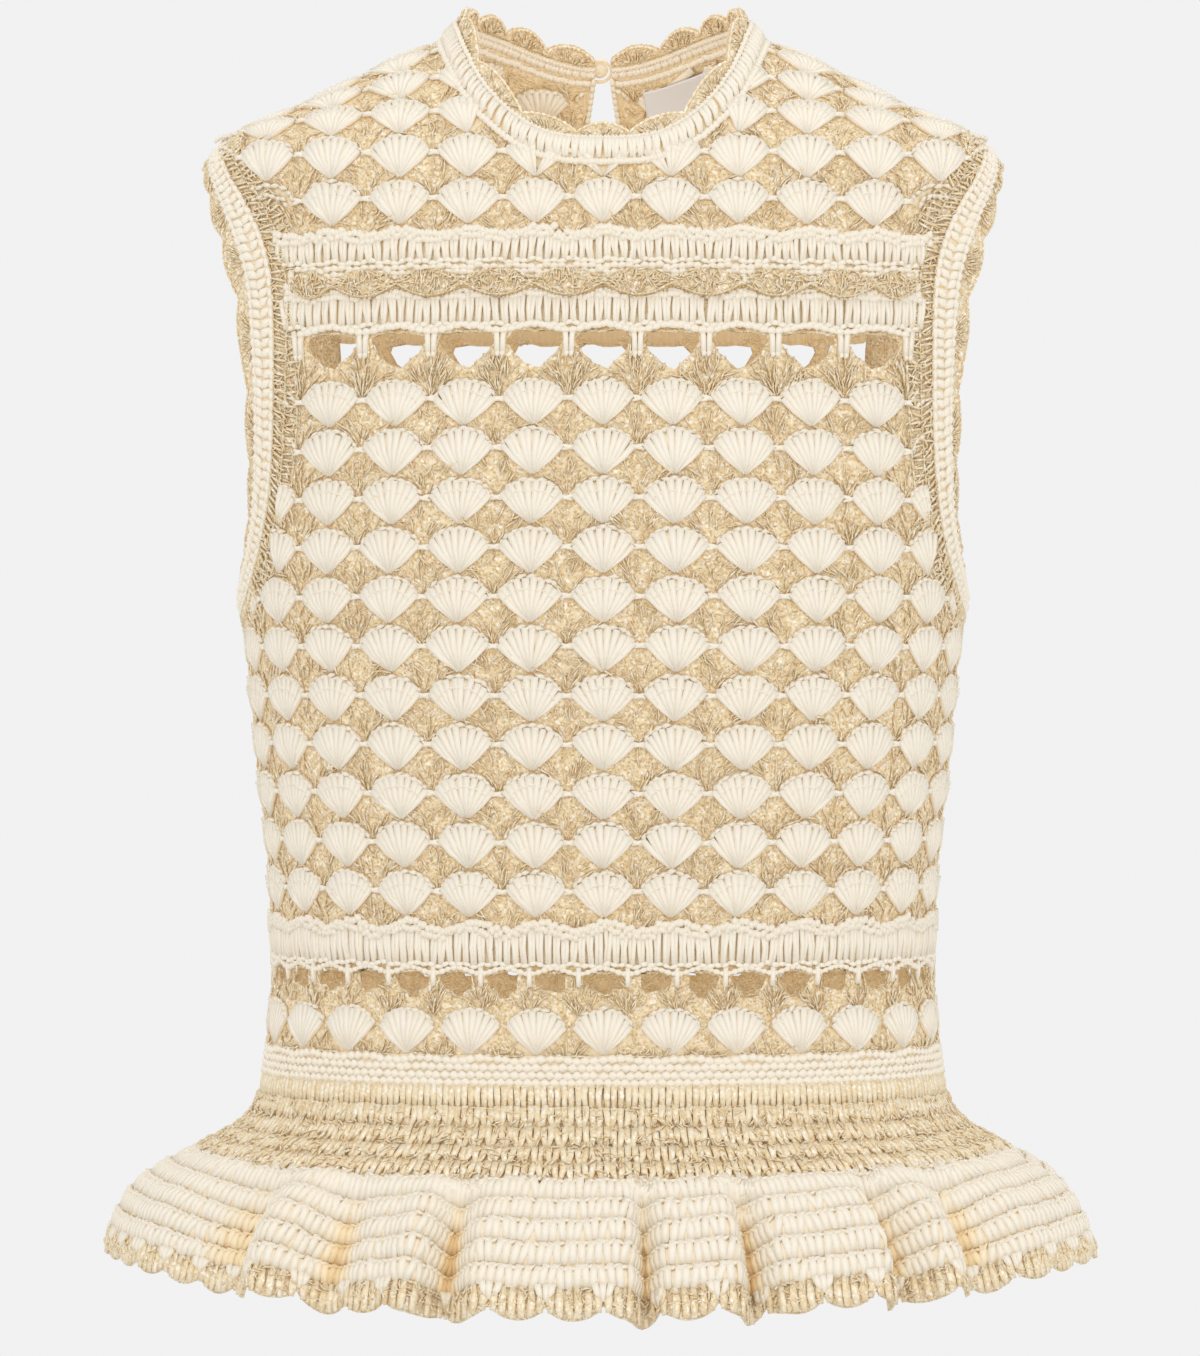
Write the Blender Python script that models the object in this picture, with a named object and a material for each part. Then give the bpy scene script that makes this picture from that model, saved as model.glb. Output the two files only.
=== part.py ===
"""A sleeveless crochet top in cream and gold with a ruffled peplum, hollow and in its worn shape.

The front faces -Y, +X is on the right of someone who looks at the front, and +Z is up.
The origin lies midway between the neck points of the two shoulder seams, where shoulders carry the top.
Tables and sizes are in millimetres, and a mesh's points become metres when it is made.

The body is a stack of rounded sections. Each panel is a grid on it: a column for every half fan and
a row for every crochet row. Below the yoke line a row is level; above it the columns run straight up
and over the shoulder. The fans are raised in the wall's outer points over a plain inside.
"""
import bpy
import bmesh
import numpy as np
from math import cos, pi, radians, sin

NAME = "crochet_top"
MM = 0.001

# ---------------------------------------------------------------- driving sizes
FANS_PER_HALF = 14          # fans round the front from side seam to side seam, and round the back
COURSE = 10.15              # height of one row of fans
CLOTH = 2.4                 # wall of the plain crochet
SEAM = 0.3                  # clearance between neighbouring pieces
CREAM_RISE = 3.2            # how far a cream fan stands proud
GOLD_RISE = 1.8
BAND_RISE = 1.3             # tall-stitch bands
ROUNDNESS = 2.2             # exponent of the body's rounded sections; 2 is an ellipse

# height, half width, front depth, back depth
SECTIONS = (
    (12.0, 40.0, 45.0, 38.0),
    (0.0, 66.0, 54.0, 48.0),
    (-7.0, 86.5, 58.0, 55.0),
    (-15.0, 103.0, 63.0, 63.0),
    (-24.0, 120.5, 68.0, 69.0),
    (-33.0, 141.5, 73.0, 74.0),
    (-41.0, 160.0, 77.5, 78.0),
    (-50.0, 172.0, 82.0, 81.5),
    (-60.0, 175.0, 86.0, 85.0),
    (-84.0, 172.0, 92.5, 91.0),
    (-140.0, 165.0, 106.0, 98.0),
    (-190.0, 158.0, 112.0, 99.5),
    (-235.0, 153.5, 112.5, 99.5),
    (-300.0, 147.5, 107.0, 97.0),
    (-368.0, 141.0, 100.0, 94.0),
    (-403.0, 140.5, 98.5, 93.5),
    (-440.0, 144.5, 99.5, 95.5),
)
HEIGHT, HALF_WIDTH, FRONT_DEPTH, BACK_DEPTH = range(4)

# ---------------------------------------------------------------- rows of the panels
YOKE_LINE = -84.0
YOKE_COURSES = 14
YOKE_COLUMNS = 12           # half fans on each side of the middle that reach the shoulder
YOKE_SPREAD = 0.002         # each yoke row is this much wider than the one below it
FIRST_FANS = -158.3         # first cream row under the big openings
FAN_COURSES = 21
CHEST_CROWDING = 0.10       # columns stand this much closer at the centre of the chest
CROWDED_ABOVE = -150.0
EVEN_BELOW = -250.0
PANEL_END = -428.3

# height, rise at the fan columns, rise at the columns between them; top to bottom
CHEST_ROWS = (
    (-90.5, BAND_RISE, BAND_RISE),
    (-100.5, 0.0, 0.0),
    (-113.5, 0.0, 0.0),
    (-120.5, BAND_RISE, BAND_RISE),
    (-127.3, BAND_RISE, BAND_RISE),
    (-148.2, 0.0, GOLD_RISE),
)
WAIST_ROWS = (
    (-379.0, BAND_RISE, BAND_RISE),
    (-391.5, BAND_RISE, BAND_RISE),
    (-406.0, 0.4, GOLD_RISE),
    (-418.0, CREAM_RISE, 0.4),
    (-424.0, 0.4, GOLD_RISE),
    (PANEL_END, 0.0, 0.0),
)

# ---------------------------------------------------------------- openings
NECK_HALF_WIDTH = 67.0
NECK_FRONT = -84.5
NECK_BACK = 60.0
NECK_CENTRE = (NECK_FRONT + NECK_BACK) / 2
NECK_HALF_DEPTH = (NECK_BACK - NECK_FRONT) / 2
NECK_SQUARENESS = 2.85      # exponent of the front half; the back half is an ellipse

ARMHOLE_TOP = -35.0
ARMHOLE_BOTTOM = -256.0
ARMHOLE_HALF_DEPTH = 74.0
ARMHOLE_SQUARENESS = 2.4

CUT_MARGIN = 6.0            # blocks this deep inside a cutter are never made
ARMHOLE_NEAREST = 90.0      # no armhole point is nearer the middle than this
PAST_SHOULDER = 6.0

KEYHOLE_TOP = 12.0
KEYHOLE_BOTTOM = -70.0
KEYHOLE_NECK = 3.5          # half width at the neckband
KEYHOLE_BELLY = 7.6         # half width at its widest
KEYHOLE_WIDEST = -32.0

CHEST_HOLES = 9             # in each panel, one under every fan column
CHEST_HOLE_TOP = -128.5
CHEST_HOLE_SHOULDER = -134.0
CHEST_HOLE_TIP = -146.0
CHEST_HOLE_HALF = 12.2
WAIST_HOLES = 19            # in each panel
WAIST_HOLE_TOP = -393.2
WAIST_HOLE_SHOULDER = -396.5
WAIST_HOLE_TIP = -404.5
WAIST_HOLE_HALF = 8.3
BACK_HOLE_RISE = 5.5        # the back's chest openings are this much higher
HOLE_REACH = 8.0            # how far a hole's cutter goes to each side of the cloth
HOLE_TOP_SHARE = 0.85       # a hole's width at its top, as a share of its widest

CUT_TOP = 60.0              # every upright cutter ends this high, above the whole top
NECK_CUT_FOOT = -110.0
ARMHOLE_CUT_REACH = 230.0
SHOULDER_CUT_FOOT = -72.0
SHOULDER_CUT_REACH = 220.0
KEYHOLE_STRAIGHT = -6.0     # the keyhole is a plain slit above this
KEYHOLE_CUT = (30.0, 140.0)

# ---------------------------------------------------------------- chest flap
FLAP_SCALLOPS = 8           # one between each two fan columns
FLAP_LINE = -107.0          # height at which its columns are spaced
FLAP_TOP, FLAP_TOP_ARCH = -105.5, 2.8
FLAP_FOOT, FLAP_FOOT_ARCH = -109.0, 5.0
FLAP_WALL = 1.8
FLAP_ROWS = ((1.0, 2.6), (0.5, 1.8), (0.0, 0.7))    # share of the way down, stand-off from the panel

# ---------------------------------------------------------------- trims
NECK_COLUMNS = 40
NECK_SCALLOPS = 17
# rows of the neck's strips: how far inwards and how far up from the panel's edge
BAND_OUTER = ((0.0, 1.6), (0.8, 5.6), (4.6, 8.6))
BAND_INNER = ((0.0, -2.2), (3.4, 2.2), (6.8, 6.6))
SCALLOP_OUTER_FOOT = (5.1, 9.0)
SCALLOP_INNER_FOOT = (6.6, 7.6)
SCALLOP_LEAN = (0.62, 0.78)
SCALLOP_NOTCH, SCALLOP_ARCH = 3.0, 3.8      # reach of the neck's scallops
SCALLOP_STEPS = 3           # grid columns across one scallop
BUTTON_RADIUS = 4.0
BUTTON_FLATNESS = 0.55
LOOP_RADIUS = 5.4
LOOP_YARN = 0.8             # half the loop's thickness
FASTENING_SHIFT = -1.5      # from the middle, towards the button's end of the band
BAND_LEAN = radians(33.0)   # how far the band's outer face leans at the back
BAND_FACE_DEPTH = 57.6
BAND_FACE_HEIGHT = -6.0
BUTTON_STAND_OFF = 2.75
LOOP_STAND_OFF = 1.8
LABEL_ENDS = (17.0, 57.0)   # from the middle, along the neck's edge
LABEL_TOP = 3.0             # down the cloth from the neck's edge
LABEL_TALL = 24.0
LABEL_STAND_OFF = 3.2       # from the middle of the back's cloth
LABEL_WALL = 0.8

ARMHOLE_COLUMNS = 36
ARMHOLE_SCALLOPS = 19
EDGE_TOP = -54.0            # outer edge of the armhole trims
EDGE_BOTTOM = -226.0
EDGE_HALF_DEPTH = 55.0
# height of the armhole's outer edge, and how far from the middle it stands
ARMHOLE_EDGE = (
    (-54.0, 171.5),
    (-67.0, 168.0),
    (-84.0, 164.0),
    (-110.0, 156.5),
    (-153.0, 151.0),
    (-196.0, 149.5),
    (-226.0, 153.0),
)
GOLD_SHARE = 0.34           # shares of the trims' width, panel to edge
CREAM_SHARE = 0.66
NOTCH_SHARE = 0.87
TRIM_CROWN = 2.0
TRIM_WIDTH = 32.0
TRIM_START = 1.7            # the trims start this far inside the armhole's cut
GOLD_WALL = (1.0, 1.0)      # outer and inner half of a trim's wall
CREAM_WALL = (1.2, 2.6)     # half wall at the edges, and at the crown
SCALLOP_WALL = 0.9
FACET_SEAM = 0.8            # clearance where two rings have unlike numbers of columns

# ---------------------------------------------------------------- peplum
WAIST_COLUMNS = 56
# distance along the cloth, half width, height at the sides, depth at the front, height at the front
PEPLUM = (
    (0.0, 144.5, -440.5, 99.5, -440.5),
    (14.0, 147.5, -454.0, 103.0, -454.2),
    (26.0, 155.0, -463.5, 109.5, -464.5),
    (45.0, 173.0, -474.0, 122.5, -477.5),
    (60.0, 187.0, -485.0, 135.0, -491.0),
    (75.0, 197.0, -496.0, 145.5, -505.0),
    (90.0, 203.5, -508.5, 153.5, -519.5),
    (104.0, 206.5, -519.0, 159.0, -532.0),
)
BACK_SHARE = 0.97           # the back of the peplum is this much as deep as the front
BACK_SHARE_TOP = 0.96
HEM_ROUNDNESS = 2.04        # exponent of the peplum's outline once it has flared
FLARED = 60.0               # distance down the cloth at which it has
WAIST_HEIGHTS = (-440.2, -434.4)
WAIST_LIFTS = (1.0, 1.9, 1.0)
WAIST_UNDER = 2.0
YOKE_ROWS = 5
YOKE_WALL = (0.8, 1.4)      # outer and inner half of the wall
HEM_WALL = (1.0, 1.4)
YOKE_END = 46.0
RUFFLE_END = 91.0
HEM_NOTCH = 99.0
HEM_TIP = 104.0
RUFFLE_RIBS = 5
RIB_RISE = 1.3
RUFFLE_WALL = 3.0
FOLD_STEPS = 2              # grid columns between a fold's crest and the valley beside it
FOLD_FULL = 26.0            # distance under the yoke at which the folds have their full depth
HEM_SCALLOPS = 58
# the ruffle's folds at the hem: degrees round from the centre front, and how far the cloth stands out
FOLDS = (
    (2.4, 6.0), (4.6, -10.0), (7.5, 4.0), (14.4, 8.0), (17.2, -11.0), (21.0, 5.0), (33.0, 9.0),
    (36.0, -11.0), (42.6, 8.0), (49.6, -9.0), (60.0, 6.0), (76.0, 8.0), (88.0, -7.0), (103.0, 8.0),
    (114.0, -8.0), (122.0, 7.0), (136.0, 6.0), (142.0, -10.0), (150.0, 8.0), (160.0, 5.0),
    (164.5, -10.0), (171.0, 7.0), (184.0, 6.0), (188.0, -9.0), (196.0, 8.0), (208.0, -9.0),
    (215.0, 6.0), (226.0, 8.0), (232.0, -9.0), (245.0, 8.0), (258.0, -7.0), (272.0, 7.0),
    (290.0, 5.0), (311.0, -8.0), (318.5, 9.0), (326.5, -9.0), (333.0, 1.0), (338.0, 8.0),
    (341.5, -11.0), (346.5, 6.0), (353.5, 4.0),
)

CREAM = (0.86, 0.78, 0.62)
GOLD = (0.62, 0.47, 0.27)
SATIN = (0.90, 0.91, 0.93)


# ---------------------------------------------------------------- the body's surface
def smooth(at, knots, values):
    """Cubic curve through a table's points that never swings past a point."""
    knots, values = np.asarray(knots), np.asarray(values)
    slope = np.diff(values) / np.diff(knots)
    product = slope[:-1] * slope[1:]
    total = slope[:-1] + slope[1:]
    middle = np.where(product > 0, 2 * product / np.where(total == 0, 1, total), 0)
    tangent = np.concatenate((slope[:1], middle, slope[-1:]))
    k = np.clip(np.searchsorted(knots, at) - 1, 0, len(slope) - 1)
    width = knots[k + 1] - knots[k]
    s = (at - knots[k]) / width
    return (values[k] * (1 + 2 * s) * (1 - s) ** 2 + values[k + 1] * s * s * (3 - 2 * s)
            + width * (tangent[k] * s * (1 - s) ** 2 - tangent[k + 1] * s * s * (1 - s)))


def section(height):
    """Half width, front depth and back depth of the body at a height."""
    table = np.array(SECTIONS)[::-1]
    return [smooth(height, table[:, HEIGHT], table[:, k]) for k in (HALF_WIDTH, FRONT_DEPTH, BACK_DEPTH)]


def depth_at(x, height, side):
    """Distance of the body's surface from the middle plane; side is -1 in front and 1 behind."""
    half, front, back = section(height)
    share = np.maximum(1 - np.minimum(abs(x) / half, 1) ** ROUNDNESS, 0) ** (1 / ROUNDNESS)
    return side * np.where(side < 0, front, back) * share


def way_along(*axes):
    """Distance walked along a line of points."""
    steps = np.sqrt(sum(np.diff(axis) ** 2 for axis in axes))
    return np.concatenate(([0.0], np.cumsum(steps)))


def level_line(height, shares, side, end_gap=SEAM / 2):
    """Points at one height; shares run from -1 to 1 along the arc between the side seams."""
    half, front, back = section(height)
    turn = np.linspace(-pi / 2, pi / 2, 361)
    x = half * np.sign(turn) * abs(np.sin(turn)) ** (2 / ROUNDNESS)
    y = side * (front if side < 0 else back) * abs(np.cos(turn)) ** (2 / ROUNDNESS)
    way = way_along(x, y)
    share = 2 * way / way[-1] - 1
    depth = np.maximum(abs(np.interp(shares, share, y)), end_gap)
    return np.interp(shares, share, x), side * depth


def over_shoulder(x, distance, side):
    """Point a distance up the body from the yoke line, in the upright plane at x.

    Past the shoulder line it runs on level.
    """
    heights = np.linspace(YOKE_LINE + 24, SECTIONS[0][HEIGHT], 200)
    top = np.interp(-abs(x), -section(heights)[0], heights)
    z = YOKE_LINE + (top - YOKE_LINE) * np.sin(np.linspace(0, pi / 2, 161))
    y = depth_at(x, z, side)
    way = way_along(y, z)
    past = max(distance - way[-1], 0.0)
    return np.interp(distance, way, y) - side * past, np.interp(distance, way, z)


def column_shares(height):
    """Share of the arc at each column; the columns crowd towards the centre of the chest."""
    even = np.arange(-FANS_PER_HALF, FANS_PER_HALF + 1) / FANS_PER_HALF
    blend = np.clip((height - EVEN_BELOW) / (CROWDED_ABOVE - EVEN_BELOW), 0, 1)
    return even * (1 - CHEST_CROWDING * blend * (1 - even ** 2))


def panel_rows():
    """Rows under the yoke, bottom to top: height, rise at fan columns, rise between them."""
    fans = []
    for k in range(FAN_COURSES + 1):
        cream = k % 2 == 0
        fans.append((FIRST_FANS - k * COURSE, CREAM_RISE if cream else 0.3, 0.3 if cream else GOLD_RISE))
    rows = [(YOKE_LINE, 0.3, GOLD_RISE), *CHEST_ROWS, *fans, *WAIST_ROWS]
    return rows[::-1]


def panel_grid(side):
    """The panel's middle surface, its outward directions and its rise, as rows of columns.

    Columns run so that rows crossed with columns point out of the body.
    """
    rows = panel_rows()
    middle = FANS_PER_HALF
    columns = np.arange(-middle, middle + 1)
    points, rises = [], []
    for height, at_fans, between in rows:
        x, y = level_line(height, column_shares(height), side)
        points.append(np.stack((x, y, np.full_like(x, height)), 1))
        rises.append(np.where(columns % 2 == 0, at_fans, between))
    start = points[-1][:, 0]
    for k in range(1, YOKE_COURSES + 1):
        x = start * (1 + YOKE_SPREAD * k)
        line = np.zeros((len(columns), 3))
        for c in range(middle - YOKE_COLUMNS, middle + YOKE_COLUMNS + 1):
            y, z = over_shoulder(x[c], k * COURSE, side)
            line[c] = x[c], y, z
        for c in (middle - YOKE_COLUMNS, middle + YOKE_COLUMNS):
            outward = 1 if c > middle else -1
            for step in (1, 2):
                line[c + outward * step] = line[c] + step * (line[c] - line[c - outward])
        points.append(line)
        cream = k % 2 == 1
        rises.append(np.where(columns % 2 == 0, CREAM_RISE if cream else 0.3, 0.3 if cream else GOLD_RISE))
    points, rises = np.array(points), np.array(rises)
    rises[:, [0, -1]] = 0
    normals = outward_of(points) * (1 if side < 0 else -1)
    body = len(rows)
    normals[:body, [0, -1], 1] = 0
    normals[0, :, 2] = 0
    normals /= np.linalg.norm(normals, axis=2, keepdims=True)
    if side > 0:
        points, normals, rises = points[:, ::-1], normals[:, ::-1], rises[:, ::-1]
    return points, normals, rises, body


def outward_of(points, ring=False):
    """Unit vector across each point of a grid: its column direction crossed with its row direction."""
    if ring:
        across = np.roll(points, -1, 1) - np.roll(points, 1, 1)
    else:
        across = np.gradient(points, axis=1)
    up = np.gradient(points, axis=0)
    normal = np.cross(across, up)
    return normal / np.linalg.norm(normal, axis=2, keepdims=True)


# ---------------------------------------------------------------- meshes
def material(name, colour, roughness, metallic=0.0):
    made = bpy.data.materials.new(name)
    made.use_nodes = True
    shader = made.node_tree.nodes["Principled BSDF"]
    shader.inputs["Base Color"].default_value = (*colour, 1)
    shader.inputs["Roughness"].default_value = roughness
    shader.inputs["Metallic"].default_value = metallic
    made.diffuse_color = (*colour, 1)
    return made


def collection(name):
    made = bpy.data.collections.new(name)
    bpy.context.scene.collection.children.link(made)
    return made


def place(name, mesh, home, finish=None):
    thing = bpy.data.objects.new(name, mesh)
    home.objects.link(thing)
    if finish:
        mesh.materials.append(finish)
    return thing


def mesh_of(name, points, faces):
    mesh = bpy.data.meshes.new(name)
    mesh.from_pydata([tuple(p) for p in np.asarray(points) * MM], [], faces)
    mesh.validate()
    return mesh


def wall(name, outer, inner, kept=None, row_step=1, column_step=1, ring=False):
    """One closed wall between a grid of outer points and a plainer grid of inner points.

    The inner side has one face for each block of row_step by column_step outer faces. kept says which
    blocks the cloth covers. ring joins the last column to the first.
    """
    rows = (outer.shape[0] - 1) // row_step
    columns = (outer.shape[1] - (0 if ring else 1)) // column_step
    wide = outer.shape[1]
    if kept is None:
        kept = np.ones((rows, columns), bool)
    found, points, faces = {}, [], []

    def at(grid, j, i):
        i = i % wide if ring else i
        key = (grid is inner, j, i)
        if key not in found:
            found[key] = len(points)
            points.append(grid[j, i])
        return found[key]

    def covered(r, c):
        c = c % columns if ring else c
        return 0 <= r < rows and 0 <= c < columns and kept[r, c]

    for r in range(rows):
        for c in range(columns):
            if not kept[r, c]:
                continue
            j0, j1 = r * row_step, (r + 1) * row_step
            i0, i1 = c * column_step, (c + 1) * column_step
            for j in range(j0, j1):
                for i in range(i0, i1):
                    corners = ((j, i), (j, i + 1), (j + 1, i + 1), (j + 1, i))
                    faces.append([at(outer, *corner) for corner in corners])
            faces.append([at(inner, *corner) for corner in ((j1, i0), (j1, i1), (j0, i1), (j0, i0))])
            along = [(j0, i) for i in range(i0, i1 + 1)]
            upward = [(j, i1) for j in range(j0, j1 + 1)]
            back = [(j1, i) for i in range(i1, i0 - 1, -1)]
            down = [(j, i0) for j in range(j1, j0 - 1, -1)]
            neighbours = ((r - 1, c, along), (r, c + 1, upward), (r + 1, c, back), (r, c - 1, down))
            for beside, over, edge in neighbours:
                if covered(beside, over):
                    continue
                rim = [at(outer, *corner) for corner in edge]
                first, last = at(inner, *edge[0]), at(inner, *edge[-1])
                if len(rim) == 2:
                    faces.append([rim[1], rim[0], first, last])
                    continue
                half = len(rim) // 2
                for k in range(half):
                    faces.append([rim[k + 1], rim[k], first])
                faces.append([rim[half], first, last])
                for k in range(half, len(rim) - 1):
                    faces.append([rim[k + 1], rim[k], last])
    return mesh_of(name, points, faces)


def prism(front, back, into):
    """Add the solid between two like outlines to a list of points and a list of faces."""
    count, base = len(front), len(into[0])
    faces = [list(range(count))[::-1], list(range(count, 2 * count))]
    faces += [[k, (k + 1) % count, count + (k + 1) % count, count + k] for k in range(count)]
    into[0].extend([*front, *back])
    into[1].extend([[base + v for v in face] for face in faces])


def cutter(name, solids, home):
    """Hidden solid that cuts others; it may hold several prisms that don't meet."""
    mesh = mesh_of(name, solids[0], solids[1])
    form = bmesh.new()
    form.from_mesh(mesh)
    bmesh.ops.recalc_face_normals(form, faces=form.faces)
    form.to_mesh(mesh)
    form.free()
    thing = place(name, mesh, home)
    thing.hide_render = True
    thing.display_type = "WIRE"
    return thing


def in_triangles(mesh):
    """Split bent faces, so that every face a cutter meets is flat."""
    form = bmesh.new()
    form.from_mesh(mesh)
    bmesh.ops.triangulate(form, faces=form.faces)
    form.to_mesh(mesh)
    form.free()


def cut(thing, tool):
    change = thing.modifiers.new(tool.name, "BOOLEAN")
    change.operation = "DIFFERENCE"
    change.solver = "EXACT"
    change.object = tool


# ---------------------------------------------------------------- cutters
def neck_outline(turn, inward=0.0):
    """The neck in plan, from the centre front towards +X: a rounded oblong in front, an ellipse behind."""
    sine, cosine = np.sin(turn), np.cos(turn)
    k = np.where(cosine > 0, NECK_SQUARENESS, 2.0)
    size = (abs(sine) ** k + abs(cosine) ** k) ** (-1 / k)
    return (NECK_HALF_WIDTH - inward) * size * sine, NECK_CENTRE - (NECK_HALF_DEPTH - inward) * size * cosine


def oval(count, top, bottom, half_depth, shrink=0.0, squareness=ARMHOLE_SQUARENESS):
    """Rounded armhole outline: depth and height, from the top round by the front."""
    turn = np.arange(count) * 2 * pi / count
    depth = -(half_depth - shrink) * np.sign(np.sin(turn)) * abs(np.sin(turn)) ** (2 / squareness)
    rise = np.sign(np.cos(turn)) * abs(np.cos(turn)) ** (2 / squareness)
    return depth, (top + bottom) / 2 + ((top - bottom) / 2 - shrink) * rise


def make_cutters(home):
    tools = {}
    solids = ([], [])
    x, y = neck_outline(np.arange(NECK_COLUMNS) * 2 * pi / NECK_COLUMNS)
    prism(*(np.stack((x, y, np.full_like(x, z)), 1) for z in (NECK_CUT_FOOT, CUT_TOP)), solids)
    tools["neck"] = cutter("cut_neck", solids, home)

    solids = ([], [])
    depth, height = oval(ARMHOLE_COLUMNS, ARMHOLE_TOP, ARMHOLE_BOTTOM, ARMHOLE_HALF_DEPTH)
    for side in (-1, 1):
        prism(*(np.stack((np.full_like(depth, side * x), depth, height), 1)
                for x in (ARMHOLE_NEAREST, ARMHOLE_CUT_REACH)), solids)
    tools["armholes"] = cutter("cut_armholes", solids, home)

    for side, name in ((-1, "front"), (1, "back")):
        solids = ([], [])
        reach, near, far = SHOULDER_CUT_REACH, side * SEAM / 2, -side * SHOULDER_CUT_REACH
        box = [(-reach, near), (reach, near), (reach, far), (-reach, far)]
        prism([(*p, SHOULDER_CUT_FOOT) for p in box], [(*p, CUT_TOP) for p in box], solids)
        tools["shoulder_" + name] = cutter("cut_shoulder_" + name, solids, home)
        tools["holes_" + name] = cutter("cut_holes_" + name, hole_prisms(side), home)

    solids = ([], [])
    belly = [(KEYHOLE_BELLY * cos(a), KEYHOLE_WIDEST + (KEYHOLE_BOTTOM - KEYHOLE_WIDEST) * sin(a))
             for a in np.linspace(0, pi, 9)]
    outline = [(-KEYHOLE_NECK, KEYHOLE_TOP), (KEYHOLE_NECK, KEYHOLE_TOP), (KEYHOLE_NECK, KEYHOLE_STRAIGHT), *belly,
               (-KEYHOLE_NECK, KEYHOLE_STRAIGHT)]
    prism(*([(x, y, z) for x, z in outline] for y in KEYHOLE_CUT), solids)
    tools["keyhole"] = cutter("cut_keyhole", solids, home)
    return tools


def hole_prisms(side):
    """The chest openings and the waist openings of one panel, each cut square to the cloth."""
    solids = ([], [])
    chest = column_shares(CHEST_HOLE_SHOULDER)[FANS_PER_HALF - CHEST_HOLES + 1:FANS_PER_HALF + CHEST_HOLES:2]
    waist = np.linspace(-1, 1, 2 * WAIST_HOLES + 1)[1::2]
    rise = BACK_HOLE_RISE if side > 0 else 0.0
    rows = (
        (chest, CHEST_HOLE_TOP + rise, CHEST_HOLE_SHOULDER + rise, CHEST_HOLE_TIP + rise, CHEST_HOLE_HALF),
        (waist, WAIST_HOLE_TOP, WAIST_HOLE_SHOULDER, WAIST_HOLE_TIP, WAIST_HOLE_HALF),
    )
    for shares, top, shoulder, tip, half in rows:
        high = half * HOLE_TOP_SHARE
        outline = [(-high, top), (high, top), (half, shoulder), (0, tip), (-half, shoulder)]
        x, y = level_line(shoulder, shares, side)
        beside_x, beside_y = level_line(shoulder, shares + 0.01, side)
        for cx, cy, bx, by in zip(x, y, beside_x, beside_y):
            along = np.array((bx - cx, by - cy, 0.0))
            along /= np.linalg.norm(along)
            out = np.array((along[1], -along[0], 0.0)) * -side
            centre = np.array((cx, cy, 0.0))
            prism(*([centre + along * a + out * reach + np.array((0, 0, h)) for a, h in outline]
                    for reach in (-HOLE_REACH, HOLE_REACH)), solids)
    return solids


# ---------------------------------------------------------------- front and back
def inside_neck(x, y, margin):
    k = np.where(y < NECK_CENTRE, NECK_SQUARENESS, 2.0)
    return (abs(x) / (NECK_HALF_WIDTH - margin)) ** k + (abs(y - NECK_CENTRE) / (NECK_HALF_DEPTH - margin)) ** k < 1


def inside_armhole(y, z, margin):
    middle, half = (ARMHOLE_TOP + ARMHOLE_BOTTOM) / 2, (ARMHOLE_TOP - ARMHOLE_BOTTOM) / 2
    k = ARMHOLE_SQUARENESS
    return (abs(y) / (ARMHOLE_HALF_DEPTH - margin)) ** k + (abs(z - middle) / (half - margin)) ** k < 1


def panel_blocks(points, body):
    """Blocks of two by two cells that hold cloth; what the cutters take away whole is left out.

    A block goes when its edge nearest the middle lies in the armhole or past the shoulder line, or its
    edge away from the middle lies in the neck.
    """
    x, y, z = points[..., 0], points[..., 1], points[..., 2]
    above = np.arange(len(points))[:, None] >= body - 1
    past = above & (y * np.sign(y[0, FANS_PER_HALF]) < -PAST_SHOULDER)
    outer_gone = past | (inside_armhole(y, z, CUT_MARGIN) & (abs(x) > ARMHOLE_NEAREST))
    neck_gone = above & inside_neck(x, y, CUT_MARGIN)
    column = np.arange(-FANS_PER_HALF, FANS_PER_HALF + 1)
    kept = np.zeros(((len(points) - 1) // 2, FANS_PER_HALF), bool)
    for r in range(kept.shape[0]):
        for c in range(kept.shape[1]):
            ends = sorted((2 * c, 2 * c + 2), key=lambda i: abs(column[i]))
            rows = slice(2 * r, 2 * r + 3)
            outside = abs(column[ends[1]]) > YOKE_COLUMNS and 2 * r >= body - 1
            taken = outer_gone[rows, ends[0]].all() or neck_gone[rows, ends[1]].all()
            kept[r, c] = not taken and not outside
    return kept


def panel(side, finish, home, tools):
    name = "front" if side < 0 else "back"
    points, normals, rises, body = panel_grid(side)
    outer = points + normals * (CLOTH * 0.12 + rises[..., None])
    inner = points - normals * (CLOTH * 0.88)
    mesh = wall(name + "_panel", outer, inner, panel_blocks(points, body), row_step=2, column_step=2)
    in_triangles(mesh)
    thing = place(name + "_panel", mesh, home, finish)
    for tool in ("neck", "armholes", "shoulder_" + name, "holes_" + name):
        cut(thing, tools[tool])
    if side > 0:
        cut(thing, tools["keyhole"])
    return thing


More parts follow.
